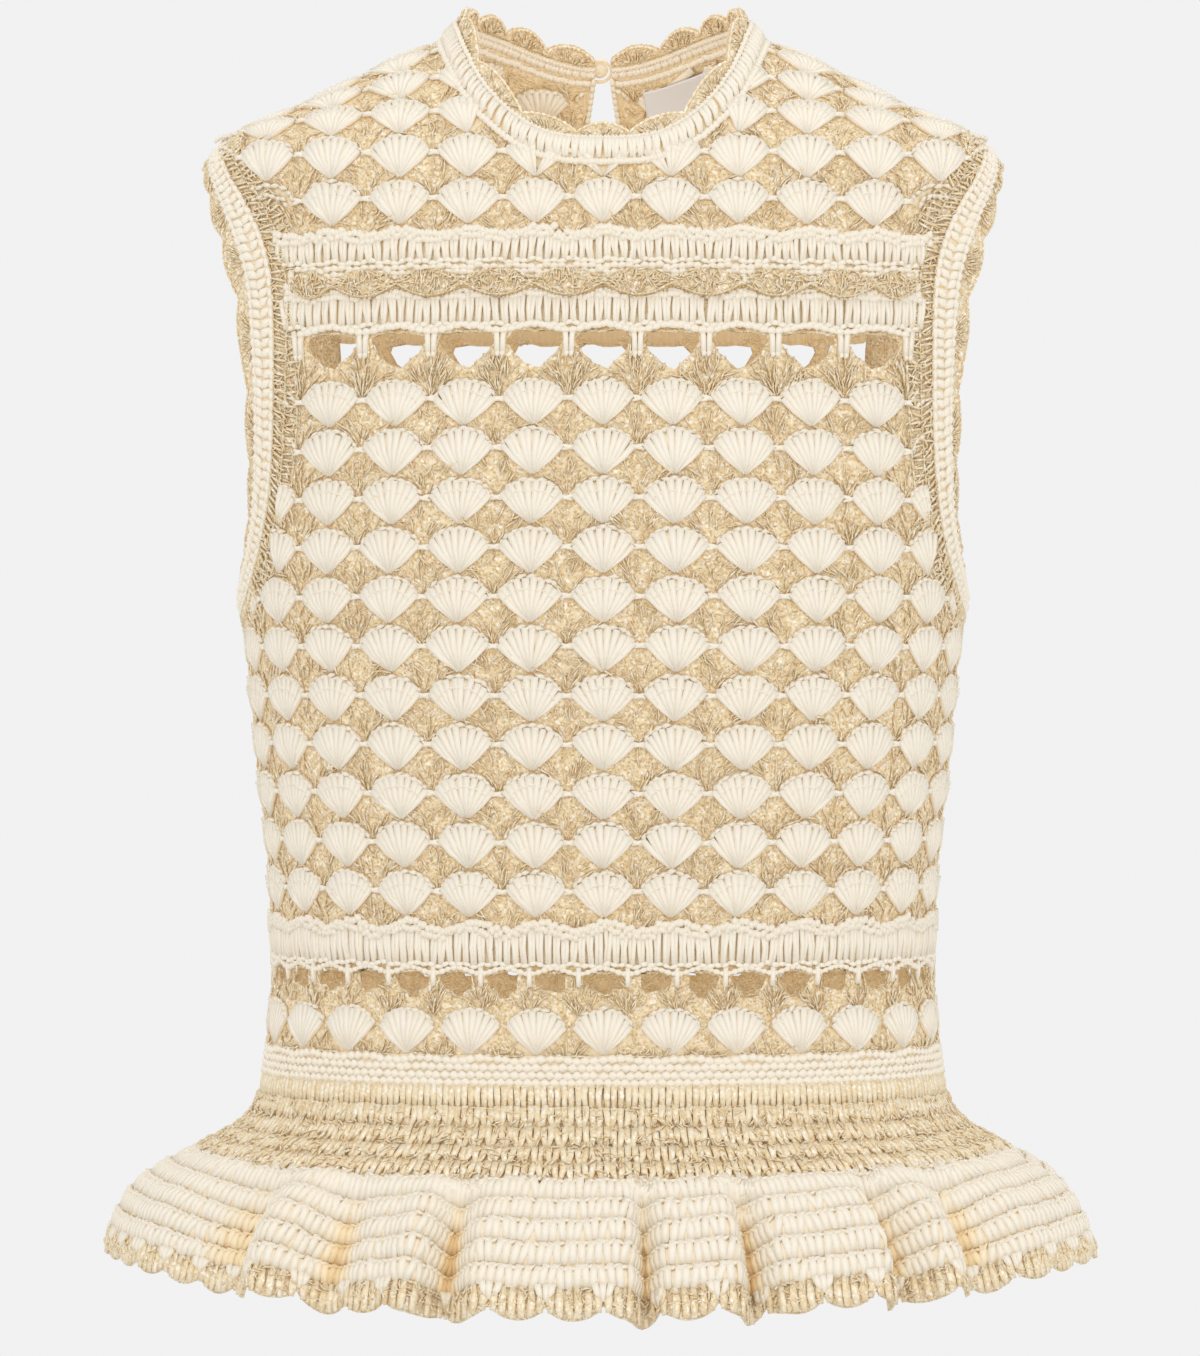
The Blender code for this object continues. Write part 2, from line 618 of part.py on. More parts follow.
def chest_flap(side, finish, home):
    """Row of gold scallops over the panel, one between each two fan columns, free at their lower edge."""
    name = "chest_flap_" + ("front" if side < 0 else "back")
    edge = column_shares(FLAP_LINE)[FANS_PER_HALF + FLAP_SCALLOPS]
    along = -side * np.linspace(-edge, edge, FLAP_SCALLOPS * SCALLOP_STEPS + 1)
    arch = abs(np.sin(np.linspace(0, FLAP_SCALLOPS * pi, len(along))))
    upper, lower = FLAP_TOP + FLAP_TOP_ARCH * arch, FLAP_FOOT - FLAP_FOOT_ARCH * arch
    x, y = level_line(FLAP_LINE, along, side)
    near_x, near_y = level_line(FLAP_LINE, along + 0.004, side)
    out = np.stack((near_y - y, x - near_x, np.zeros_like(x)), 1)
    out *= (np.sign(out[:, 0] * x + out[:, 1] * y) / np.linalg.norm(out, axis=1))[:, None]
    outer, inner = [], []
    for share, lift in FLAP_ROWS:
        height = upper + (lower - upper) * share
        surface = np.stack((x, depth_at(x, height, side), height), 1)
        outer.append(surface + out * (lift + FLAP_WALL))
        inner.append(surface + out * lift)
    return place(name, wall(name, np.array(outer), np.array(inner), row_step=2), home, finish)


# ---------------------------------------------------------------- neck
def height_on_body(x, y):
    """Height at which the body's surface passes over a point inside its widest outline."""
    heights = np.linspace(-75.0, SECTIONS[0][HEIGHT], 500)
    half, front, back = section(heights)
    found = []
    for px, py in zip(x, y):
        depth = front if py < 0 else back
        size = (abs(px) / half) ** ROUNDNESS + (abs(py) / depth) ** ROUNDNESS
        found.append(np.interp(1.0, size, heights))
    return np.array(found)


def neck_strip(name, outer_rows, inner_rows, turn, finish, home, row_step):
    """Strip round the neck; each row is a pair: how far inwards and how far up from the panel's edge."""
    base = height_on_body(*neck_outline(turn))

    def rows(table):
        return np.array([np.stack((*neck_outline(turn, SEAM + inward), base + up), 1) for inward, up in table])

    mesh = wall(name, rows(outer_rows), rows(inner_rows), row_step=row_step)
    return place(name, mesh, home, finish)


def neck_trims(cream, gold, home):
    gap = (KEYHOLE_NECK + 0.4) / NECK_HALF_WIDTH
    turn = np.linspace(-pi + gap, pi - gap, NECK_COLUMNS + 1)
    neck_strip("neckband", BAND_OUTER, BAND_INNER, turn, cream, home, 2)
    turn = np.linspace(-pi + gap, pi - gap, NECK_SCALLOPS * SCALLOP_STEPS + 1)
    arch = abs(np.sin(np.linspace(0, NECK_SCALLOPS * pi, len(turn))))
    reach = SCALLOP_NOTCH + SCALLOP_ARCH * arch
    outer, inner = ((foot, tuple(start + lean * reach for start, lean in zip(foot, SCALLOP_LEAN)))
                    for foot in (SCALLOP_OUTER_FOOT, SCALLOP_INNER_FOOT))
    neck_strip("neck_scallops", outer, inner, turn, gold, home, 1)


def fastening(cream, home):
    """A small button on one end of the neckband and the yarn loop that goes round it from the other.

    Both lean back with the band, and each stands off it along the band's outward direction.
    """
    form = bmesh.new()
    bmesh.ops.create_uvsphere(form, u_segments=12, v_segments=8, radius=BUTTON_RADIUS * MM)
    bmesh.ops.scale(form, vec=(1, BUTTON_FLATNESS, 1), verts=form.verts)
    mesh = bpy.data.meshes.new("neck_button")
    form.to_mesh(mesh)
    form.free()
    button = place("neck_button", mesh, home, cream)
    button.location = fastening_place(BUTTON_STAND_OFF)
    button.rotation_euler = (BAND_LEAN, 0, 0)
    bpy.ops.mesh.primitive_torus_add(major_segments=16, minor_segments=5, major_radius=LOOP_RADIUS * MM,
                                     minor_radius=LOOP_YARN * MM, rotation=(BAND_LEAN + pi / 2, 0, 0),
                                     location=fastening_place(LOOP_STAND_OFF))
    loop = bpy.context.active_object
    loop.name = loop.data.name = "button_loop"
    for other in list(loop.users_collection):
        other.objects.unlink(loop)
    home.objects.link(loop)
    loop.data.materials.append(cream)


def fastening_place(stand_off):
    """Point behind the gap in the neckband, a distance off the band's outer face."""
    y = BAND_FACE_DEPTH + stand_off * cos(BAND_LEAN)
    z = BAND_FACE_HEIGHT + stand_off * sin(BAND_LEAN)
    return FASTENING_SHIFT * MM, y * MM, z * MM


def label(finish, home):
    """Bare satin label on the inside of the back panel, hung along the neck's edge beside the keyhole."""
    turn = pi - np.arcsin(np.linspace(*LABEL_ENDS, 6) / NECK_HALF_WIDTH)
    wanted = np.linspace(LABEL_TOP + LABEL_TALL, LABEL_TOP, 3)
    columns = []
    for angle in turn:
        x, y = neck_outline(angle, -np.linspace(0.0, 45.0, 91))
        z = height_on_body(x, y)
        way = way_along(x, y, z)
        columns.append(np.stack([np.interp(wanted, way, axis) for axis in (x, y, z)], 1))
    points = np.array(columns).transpose(1, 0, 2)
    inwards = outward_of(points)
    outer = points + inwards * (LABEL_STAND_OFF + LABEL_WALL)
    inner = points + inwards * LABEL_STAND_OFF
    place("blank_label", wall("blank_label", outer, inner), home, finish)


# ---------------------------------------------------------------- armholes
def armhole_surface(turn_count, share):
    """Points of the trims on the +X side, from the panel's edge (share 0) to the outer edge (share 1)."""
    depth0, height0 = oval(turn_count, ARMHOLE_TOP, ARMHOLE_BOTTOM, ARMHOLE_HALF_DEPTH, TRIM_START)
    depth1, height1 = oval(turn_count, EDGE_TOP, EDGE_BOTTOM, EDGE_HALF_DEPTH)
    half, front, back = section(height0)
    deep = np.where(depth0 < 0, front, back)
    x0 = half * (1 - (abs(depth0) / deep) ** ROUNDNESS) ** (1 / ROUNDNESS)
    edge = np.array(ARMHOLE_EDGE)[::-1]
    x1 = smooth(height1, edge[:, 0], edge[:, 1])
    start = np.stack((x0, depth0, height0), 1)
    end = np.stack((x1, depth1, height1), 1)
    share = np.broadcast_to(np.asarray(share, float), depth0.shape)[:, None]
    crown = np.array((TRIM_CROWN, 0, 0)) * np.sin(pi * np.clip(share, 0, 1))
    return start + (end - start) * share + crown


def armhole_strip(name, side, count, shares, lifts, wall_under, finish, home, row_step):
    """Strip round an armhole. shares place its rows across the trims; lifts raise their outer points."""
    sampled = np.array([armhole_surface(count, share) for share in shares])
    across = np.array([armhole_surface(count, np.asarray(share) + 0.02) for share in shares]) - sampled
    round_way = np.roll(sampled, -1, 1) - np.roll(sampled, 1, 1)
    normals = np.cross(round_way, across)
    normals /= np.linalg.norm(normals, axis=2, keepdims=True)
    normals *= np.sign(normals[:, :1, 2:3])
    outer = sampled + normals * np.array(lifts)[:, None, None]
    inner = sampled - normals * wall_under
    if side < 0:
        outer, inner = outer * (-1, 1, 1), inner * (-1, 1, 1)
        outer, inner = outer[:, ::-1], inner[:, ::-1]
    mesh = wall(name, outer, inner, row_step=row_step, ring=True)
    return place(name, mesh, home, finish)


def armhole_trims(cream, gold, home):
    gap = SEAM / TRIM_WIDTH
    facet_gap = FACET_SEAM / TRIM_WIDTH
    edge, crown = CREAM_WALL
    count = ARMHOLE_SCALLOPS * SCALLOP_STEPS
    arch = abs(np.sin(np.arange(count) * pi / SCALLOP_STEPS))
    tips = NOTCH_SHARE + (1 - NOTCH_SHARE) * arch
    cream_shares = (GOLD_SHARE, (GOLD_SHARE + CREAM_SHARE) / 2, CREAM_SHARE - facet_gap)
    for side, tag in ((1, "right"), (-1, "left")):
        armhole_strip("armhole_gold_" + tag, side, ARMHOLE_COLUMNS, (0.0, GOLD_SHARE - gap), GOLD_WALL[:1] * 2,
                      GOLD_WALL[1], gold, home, 1)
        armhole_strip("armhole_cream_" + tag, side, ARMHOLE_COLUMNS, cream_shares, (edge, crown, edge), edge, cream,
                      home, 2)
        armhole_strip("armhole_scallops_" + tag, side, count, (CREAM_SHARE, tips), (SCALLOP_WALL,) * 2,
                      SCALLOP_WALL, gold, home, 1)


# ---------------------------------------------------------------- waist and peplum
def tube_line(height, count):
    """Points round the whole body at one height, evenly spaced, from the centre front towards +X."""
    half, front, back = section(height)
    turn = np.linspace(0, 2 * pi, 721)
    x = half * np.sign(np.sin(turn)) * abs(np.sin(turn)) ** (2 / ROUNDNESS)
    deep = np.where(np.cos(turn) > 0, front, back)
    y = -deep * np.sign(np.cos(turn)) * abs(np.cos(turn)) ** (2 / ROUNDNESS)
    way = way_along(x, y)
    at = np.arange(count) * way[-1] / count
    return np.stack((np.interp(at, way, x), np.interp(at, way, y), np.full(count, height)), 1)


def waistband(finish, home):
    points = np.array([tube_line(height, WAIST_COLUMNS) for height in (*WAIST_HEIGHTS, PANEL_END - SEAM)])
    normals = outward_of(points, ring=True)
    normals[..., 2] = 0
    normals /= np.linalg.norm(normals, axis=2, keepdims=True)
    lifts = np.array(WAIST_LIFTS)[:, None, None]
    mesh = wall("waistband", points + normals * lifts, points - normals * WAIST_UNDER, row_step=2, column_step=2,
                ring=True)
    place("waistband", mesh, home, finish)


def peplum_point(turn, distance):
    """Peplum's plain surface: turn in radians from the centre front, distance down the cloth."""
    table = np.array(PEPLUM)
    half, side_height, depth, front_height = (smooth(distance, table[:, 0], table[:, k]) for k in (1, 2, 3, 4))
    flare = np.clip(distance / FLARED, 0, 1)
    power = 2 / (ROUNDNESS + (HEM_ROUNDNESS - ROUNDNESS) * flare)
    sine, cosine = np.sin(turn), np.cos(turn)
    deep = np.where(cosine > 0, depth, depth * (BACK_SHARE_TOP + (BACK_SHARE - BACK_SHARE_TOP) * flare))
    x = half * np.sign(sine) * abs(sine) ** power
    y = -deep * np.sign(cosine) * abs(cosine) ** power
    z = side_height + (front_height - side_height) * cosine ** 2
    return np.stack(np.broadcast_arrays(x, y, z), -1)


def peplum_normal(turn, distance):
    small = 0.01
    along = peplum_point(turn + small, distance) - peplum_point(turn - small, distance)
    down = peplum_point(turn, distance + 0.5) - peplum_point(turn, distance - 0.5)
    normal = np.cross(along, -down)
    return normal / np.linalg.norm(normal, axis=-1, keepdims=True)


def fold_height(turn, distance):
    """How far the ruffle's cloth stands off its plain surface."""
    table = np.array(FOLDS)
    degrees = np.degrees(turn) % 360
    knots = np.concatenate((table[-1:, 0] - 360, table[:, 0], table[:1, 0] + 360))
    heights = np.concatenate((table[-1:, 1], table[:, 1], table[:1, 1]))
    k = np.clip(np.searchsorted(knots, degrees) - 1, 0, len(knots) - 2)
    share = (degrees - knots[k]) / (knots[k + 1] - knots[k])
    eased = (1 - np.cos(pi * share)) / 2
    growth = np.clip((distance - YOKE_END) / FOLD_FULL, 0, 1)
    return (heights[k] + (heights[k + 1] - heights[k]) * eased) * growth ** 0.7


def peplum_wall(name, turns, distances, lifts, under, finish, home, row_step, column_step=1):
    """Ring of cloth on the peplum's surface; distances run from its lower edge up."""
    turn, distance = np.broadcast_arrays(turns[None, :], np.array([np.broadcast_to(d, turns.shape)
                                                                   for d in distances]))
    points = peplum_point(turn, distance)
    normals = peplum_normal(turn, distance)
    fold = fold_height(turn, distance)[..., None]
    flat_top = distance <= PEPLUM[0][0] + 0.01
    normals[flat_top, 2] = 0
    normals /= np.linalg.norm(normals, axis=-1, keepdims=True)
    outer = points + normals * (fold + np.array(lifts)[:, None, None])
    inner = points + normals * (fold - under)
    mesh = wall(name, outer, inner, row_step=row_step, column_step=column_step, ring=True)
    place(name, mesh, home, finish)


def fold_turns():
    """Columns of the ruffle: every crest and valley, and FOLD_STEPS steps between neighbours."""
    degrees = np.array([row[0] for row in FOLDS])
    following = np.concatenate((degrees[1:], degrees[:1] + 360))
    steps = np.arange(FOLD_STEPS) / FOLD_STEPS
    return np.radians((degrees[:, None] + (following - degrees)[:, None] * steps).ravel())


def peplum(cream, gold, home):
    turns = np.arange(WAIST_COLUMNS) * 2 * pi / WAIST_COLUMNS
    yoke_rows = np.linspace(YOKE_END - FACET_SEAM, 0, YOKE_ROWS)
    peplum_wall("peplum_yoke", turns, yoke_rows, YOKE_WALL[:1] * YOKE_ROWS, YOKE_WALL[1], gold, home, 2, 2)
    rows = np.linspace(RUFFLE_END, YOKE_END, 2 * RUFFLE_RIBS + 1)
    lifts = [1.0 + RIB_RISE * (k % 2) for k in range(len(rows))]
    peplum_wall("ruffle", fold_turns(), rows, lifts, RUFFLE_WALL - 1.0, cream, home, RUFFLE_RIBS)
    count = HEM_SCALLOPS * SCALLOP_STEPS
    turns = np.arange(count) * 2 * pi / count
    tips = np.where(np.arange(count) % SCALLOP_STEPS == 0, HEM_NOTCH, HEM_TIP)
    peplum_wall("hem_scallops", turns, (tips, RUFFLE_END + SEAM), HEM_WALL[:1] * 2, HEM_WALL[1], gold, home, 1)


# ---------------------------------------------------------------- the whole top
def main():
    for thing in list(bpy.data.objects):
        bpy.data.objects.remove(thing, do_unlink=True)
    home = collection(NAME)
    hidden = collection("cutters")
    cream = material("cream_cotton", CREAM, 0.85)
    gold = material("gold_yarn", GOLD, 0.45, 0.35)
    satin = material("white_satin", SATIN, 0.4)
    tools = make_cutters(hidden)
    panel(-1, cream, home, tools)
    panel(1, cream, home, tools)
    chest_flap(-1, gold, home)
    chest_flap(1, gold, home)
    neck_trims(cream, gold, home)
    fastening(cream, home)
    label(satin, home)
    armhole_trims(cream, gold, home)
    waistband(cream, home)
    peplum(cream, gold, home)


main()
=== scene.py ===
"""Looks of a sleeveless crochet top in cream cotton and gold yarn, with a ruffled peplum.

The front faces -Y and +Z is up. Tables and sizes are in millimetres; a mesh's points become metres
when it is made. Every stitch is a closed tube on a cloth surface, and all tubes of a kind are worked out
at once.
"""

import bpy
import numpy as np
from numpy import cos, pi, radians, sin
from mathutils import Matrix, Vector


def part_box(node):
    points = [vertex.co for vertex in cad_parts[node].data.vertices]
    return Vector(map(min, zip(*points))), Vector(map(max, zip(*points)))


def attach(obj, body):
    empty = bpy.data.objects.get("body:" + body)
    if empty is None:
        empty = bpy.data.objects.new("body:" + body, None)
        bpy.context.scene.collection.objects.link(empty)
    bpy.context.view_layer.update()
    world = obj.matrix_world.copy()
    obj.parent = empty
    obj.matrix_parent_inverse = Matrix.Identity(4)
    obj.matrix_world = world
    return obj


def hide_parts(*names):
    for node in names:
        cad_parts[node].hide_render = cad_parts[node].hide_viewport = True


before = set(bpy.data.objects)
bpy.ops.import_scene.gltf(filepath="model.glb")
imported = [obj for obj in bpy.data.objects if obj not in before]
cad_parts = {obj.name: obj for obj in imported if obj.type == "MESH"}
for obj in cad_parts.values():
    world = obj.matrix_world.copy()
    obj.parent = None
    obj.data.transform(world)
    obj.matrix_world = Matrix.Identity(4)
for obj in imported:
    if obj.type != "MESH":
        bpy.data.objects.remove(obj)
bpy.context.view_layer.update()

MM = 0.001
BODY = "root"

# ---------------------------------------------------------------- form of the top, as the solids have it
FANS_PER_HALF = 14
COURSE = 10.15
ROUNDNESS = 2.2
# height, half width, front depth, back depth
SECTIONS = np.array((
    (12.0, 40.0, 45.0, 38.0), (0.0, 66.0, 54.0, 48.0), (-7.0, 86.5, 58.0, 55.0), (-15.0, 103.0, 63.0, 63.0),
    (-24.0, 120.5, 68.0, 69.0), (-33.0, 141.5, 73.0, 74.0), (-41.0, 160.0, 77.5, 78.0),
    (-50.0, 172.0, 82.0, 81.5), (-60.0, 175.0, 86.0, 85.0), (-84.0, 172.0, 92.5, 91.0),
    (-140.0, 165.0, 106.0, 98.0), (-190.0, 158.0, 112.0, 99.5), (-235.0, 153.5, 112.5, 99.5),
    (-300.0, 147.5, 107.0, 97.0), (-368.0, 141.0, 100.0, 94.0), (-403.0, 140.5, 98.5, 93.5),
    (-440.0, 144.5, 99.5, 95.5)))[::-1]

YOKE_LINE = -84.0
YOKE_COURSES = 14
YOKE_COLUMNS = 13
YOKE_SPREAD = 0.002
FIRST_FANS = -158.3
CREAM_ROWS = 11
PANEL_END = -428.3
CHEST_CROWDING = 0.10
CROWDED_ABOVE = -150.0
EVEN_BELOW = -250.0

NECK_HALF_WIDTH = 67.0
NECK_CENTRE = -12.25
NECK_HALF_DEPTH = 72.25
ARMHOLE_TOP, ARMHOLE_BOTTOM = -35.0, -256.0
ARMHOLE_HALF_DEPTH = 74.0
ARMHOLE_SQUARENESS = 2.4
ARMHOLE_NEAREST = 90.0
KEYHOLE_NECK, KEYHOLE_BELLY = 3.5, 7.6
KEYHOLE_STRAIGHT, KEYHOLE_WIDEST, KEYHOLE_BOTTOM = -6.0, -32.0, -70.0


EDGE_TOP, EDGE_BOTTOM, EDGE_HALF_DEPTH = -54.0, -226.0, 55.0
ARMHOLE_EDGE = np.array(((-54.0, 171.5), (-67.0, 168.0), (-84.0, 164.0), (-110.0, 156.5), (-153.0, 151.0),
                         (-196.0, 149.5), (-226.0, 153.0)))[::-1]
GOLD_SHARE, CREAM_SHARE, NOTCH_SHARE = 0.34, 0.66, 0.87
TRIM_CROWN = 2.0
NECK_SCALLOPS = 17
ARMHOLE_SCALLOPS = 19

# distance along the cloth, half width, height at the sides, depth at the front, height at the front
PEPLUM = np.array((
    (0.0, 144.5, -440.5, 99.5, -440.5), (14.0, 147.5, -454.0, 103.0, -454.2),
    (26.0, 155.0, -463.5, 109.5, -464.5), (45.0, 173.0, -474.0, 122.5, -477.5),
    (60.0, 187.0, -485.0, 135.0, -491.0), (75.0, 197.0, -496.0, 145.5, -505.0),
    (90.0, 203.5, -508.5, 153.5, -519.5), (104.0, 206.5, -519.0, 159.0, -532.0)))
BACK_SHARE = 0.97
YOKE_END, RUFFLE_END, HEM_NOTCH, HEM_TIP = 46.0, 91.0, 99.0, 104.0
RUFFLE_ROWS = 5
FOLD_FULL = 26.0
HEM_SCALLOPS = 58
# the ruffle's folds at the hem: degrees round from the centre front, and how far the cloth stands out
FOLDS = np.array((
    (2.4, 6.0), (4.6, -10.0), (7.5, 4.0), (14.4, 8.0), (17.2, -11.0), (21.0, 5.0), (33.0, 9.0),
    (36.0, -11.0), (42.6, 8.0), (49.6, -9.0), (60.0, 6.0), (76.0, 8.0), (88.0, -7.0), (103.0, 8.0),
    (114.0, -8.0), (122.0, 7.0), (136.0, 6.0), (142.0, -10.0), (150.0, 8.0), (160.0, 5.0),
    (164.5, -10.0), (171.0, 7.0), (184.0, 6.0), (188.0, -9.0), (196.0, 8.0), (208.0, -9.0),
    (215.0, 6.0), (226.0, 8.0), (232.0, -9.0), (245.0, 8.0), (258.0, -7.0), (272.0, 7.0),
    (290.0, 5.0), (311.0, -8.0), (318.5, 9.0), (326.5, -9.0), (333.0, 1.0), (338.0, 8.0),
    (341.5, -11.0), (346.5, 6.0), (353.5, 4.0)))

# ---------------------------------------------------------------- stitches
SHEET_WALL = 1.2
# painted warm light on the panels' inner face
INNER_PAINTED_LIGHT = (0.940, 0.750, 0.470)
NECK_SQUARENESS = 2.85
FLAP_TOP, FLAP_TOP_ARCH, FLAP_FOOT, FLAP_FOOT_ARCH = -107.0, 4.6, -109.0, 5.0
FLAP_SCALLOPS, FLAP_LINE = 8, -107.0
# TAN is painted warm shade in the ruffle's creases, and the ground between the tall-stitch bands' posts
TAN = (0.900, 0.735, 0.470)
BACK_HOLE_RISE = 5.5
HOLE_TOP_SHARE = 0.85
WAIST_HOLES = 19
WAIST_HOLE = (-393.2, -396.5, -404.5, 8.3)
CHEST_HOLES = 9
CHEST_HOLE = (-128.5, -134.0, -146.0, 12.2)     # top, shoulder, tip, half width
LUMP_ROUND = np.array((0.45, 1.0, 0.45))
LUMP_ALONG = np.array((-1.0, 0.0, 1.0))
FLAT_TOP = 1.22             # a four-sided tube lies on a flat side, and is this much thicker
HALF_FAN = 14.7             # width of half a fan, about
CREAM_POSTS = 10
FAN_HALF = 0.86             # half a cream fan's width, in half fans
FAN_FOOT, FAN_TALL, FAN_DROP = -9.7, 18.8, 6.8
GOLD_STRANDS = 20


# ---------------------------------------------------------------- surfaces
def smooth(at, knots, values):
    """Cubic curve through a table's points that never swings past a point."""
    slope = np.diff(values) / np.diff(knots)
    product = slope[:-1] * slope[1:]
    total = slope[:-1] + slope[1:]
    middle = np.where(product > 0, 2 * product / np.where(total == 0, 1, total), 0)
    tangent = np.concatenate((slope[:1], middle, slope[-1:]))
    k = np.clip(np.searchsorted(knots, at) - 1, 0, len(slope) - 1)
    width = knots[k + 1] - knots[k]
    s = (at - knots[k]) / width
    return (values[k] * (1 + 2 * s) * (1 - s) ** 2 + values[k + 1] * s * s * (3 - 2 * s)
            + width * (tangent[k] * s * (1 - s) ** 2 - tangent[k + 1] * s * s * (1 - s)))


def section(height):
    """Half width, front depth and back depth of the body at a height."""
    return [smooth(height, SECTIONS[:, 0], SECTIONS[:, k]) for k in (1, 2, 3)]


def depth_at(x, height, side):
    """Signed depth of the body: the root of 1 less the share of the half width, both to the roundness."""
    half, front, back = section(height)
    share = np.maximum(1 - np.minimum(abs(x) / half, 1) ** ROUNDNESS, 0) ** (1 / ROUNDNESS)
    return side * np.where(side < 0, front, back) * share


def powered(value, power):
    """A number's size to a power, with its sign kept."""
    return np.sign(value) * abs(value) ** power


def way_along(*axes):
    """Distance walked along a line of points, or along the last axis of many lines at once."""
    steps = np.sqrt(sum(np.diff(axis, axis=-1) ** 2 for axis in axes))
    return np.concatenate((np.zeros(steps.shape[:-1] + (1,)), np.cumsum(steps, -1)), -1)


def level_line(height, shares, side):
    """Points at one height; shares run from -1 to 1 along the arc between the side seams."""
    half, front, back = section(height)
    turn = np.linspace(-pi / 2, pi / 2, 361)
    x = half * powered(sin(turn), 2 / ROUNDNESS)
    y = side * (front if side < 0 else back) * abs(cos(turn)) ** (2 / ROUNDNESS)
    way = way_along(x, y)
    share = 2 * way / way[-1] - 1
    return np.stack((np.interp(shares, share, x), np.interp(shares, share, y), np.full_like(shares, height)), -1)


def column_shares(u, height):
    """Share of the arc at each column; the columns crowd towards the centre of the chest."""
    even = u / FANS_PER_HALF
    blend = np.clip((height - EVEN_BELOW) / (CROWDED_ABOVE - EVEN_BELOW), 0, 1)
    return even * (1 - CHEST_CROWDING * blend * (1 - even ** 2))


class Surface:
    """A grid of points with outward directions. A place between them is read off in proportion.

    u runs along the columns and v along the rows, and columns crossed with rows point outwards. On a ring
    the last column is the first one again.
    """

    def __init__(self, u, v, points, ring=False):
        self.u, self.v, self.points, self.ring = u, v, points, ring
        across = np.gradient(points, axis=1)
        if ring:
            across[:, 0] = across[:, -1] = points[:, 1] - points[:, -2]
        up = np.gradient(points, axis=0)
        normal = np.cross(across, up)
        size = np.linalg.norm(normal, axis=2, keepdims=True)
        self.normals = normal / np.maximum(size, 1e-9)

    def read(self, grid, u, v):
        """A grid's value at places u, v, in proportion between its four neighbours."""
        if self.ring:
            u = self.u[0] + (u - self.u[0]) % (self.u[-1] - self.u[0])
        i = np.clip(np.interp(u, self.u, np.arange(len(self.u))), 0, len(self.u) - 1.0001)
        j = np.clip(np.interp(v, self.v, np.arange(len(self.v))), 0, len(self.v) - 1.0001)
        i0, j0 = i.astype(int), j.astype(int)
        s, t = (i - i0)[..., None], (j - j0)[..., None]
        return ((grid[j0, i0] * (1 - s) + grid[j0, i0 + 1] * s) * (1 - t)
                + (grid[j0 + 1, i0] * (1 - s) + grid[j0 + 1, i0 + 1] * s) * t)

    def at(self, u, v, lift=0.0):
        """Point a distance off the surface, and the outward direction there."""
        u, v = np.broadcast_arrays(np.asarray(u, float), np.asarray(v, float))
        normal = self.read(self.normals, u, v)
        normal = normal / np.linalg.norm(normal, axis=-1, keepdims=True)
        lift = np.broadcast_to(np.asarray(lift, float), u.shape)[..., None]
        return self.read(self.points, u, v) + normal * lift, normal

    def inside(self, depth):
        """The cloth's other face: a depth inwards from this one, with its directions turned round."""
        other = Surface(self.u, self.v, self.points - self.normals * depth, self.ring)
        other.normals = -self.normals
        return other


def panel_surface(side):
    """A panel: u counts half fans from the middle, v is millimetres up the cloth from the yoke line.

    Under the yoke line a row is level. Above it a column runs up the body in the upright plane of its x,
    and past the shoulder line it stops.
    """
    u = np.linspace(-FANS_PER_HALF, FANS_PER_HALF, 8 * FANS_PER_HALF + 1)
    below = np.linspace(PANEL_END - YOKE_LINE, 0, 174)
    rows = [level_line(v + YOKE_LINE, column_shares(u, v + YOKE_LINE), side) for v in below]
    above = np.arange(2.0, 150.0, 2.0)
    x = rows[-1][:, 0]
    heights = np.linspace(YOKE_LINE + 24, 12.0, 200)
    top = np.interp(-abs(x), -section(heights)[0], heights)
    z = YOKE_LINE + (top - YOKE_LINE)[:, None] * sin(np.linspace(0, pi / 2, 161))
    y = depth_at(x[:, None], z, side)
    way = way_along(y, z)
    columns = [np.stack((np.full_like(above, x[k]), np.interp(above, way[k], y[k]),
                         np.interp(above, way[k], z[k])), -1) for k in range(len(u))]
    past = np.maximum(above - way[:, -1:], 0)
    columns = np.array(columns)
    columns[..., 1] -= side * past
    points = np.concatenate((np.array(rows), columns.transpose(1, 0, 2)))
    if side > 0:
        points = points[:, ::-1]
    return Surface(u, np.concatenate((below, above)), points)


def hole_depth(points, side):
    """How far inside a chest or waist opening a point lies, in millimetres; less than 0 outside."""
    deepest = np.full(points.shape[:-1], -99.0)
    z = points[..., 2]
    rise = BACK_HOLE_RISE if side > 0 else 0.0
    rows = ((CHEST_HOLE, rise, column_shares(np.arange(1.0 - CHEST_HOLES, CHEST_HOLES, 2), CHEST_HOLE[1])),
            (WAIST_HOLE, 0.0, np.linspace(-1, 1, 2 * WAIST_HOLES + 1)[1::2]))
    for (top, shoulder, tip, half), rise, shares in rows:
        centres = level_line(shoulder, shares, side)
        beside = level_line(shoulder, shares + 0.01, side) - centres
        along = beside / np.linalg.norm(beside, axis=-1, keepdims=True)
        near = abs(z - shoulder - rise) < 16
        width = np.interp(z - rise, (tip, shoulder, top), (0.0, half, half * HOLE_TOP_SHARE))
        for centre, way in zip(centres, along):
            aside = abs(((points - centre) * way).sum(-1))
            depth = np.minimum(np.minimum(width - aside, top + rise - z), z - tip - rise)
            deepest = np.where(near & (aside < 30), np.maximum(deepest, depth), deepest)
    return deepest


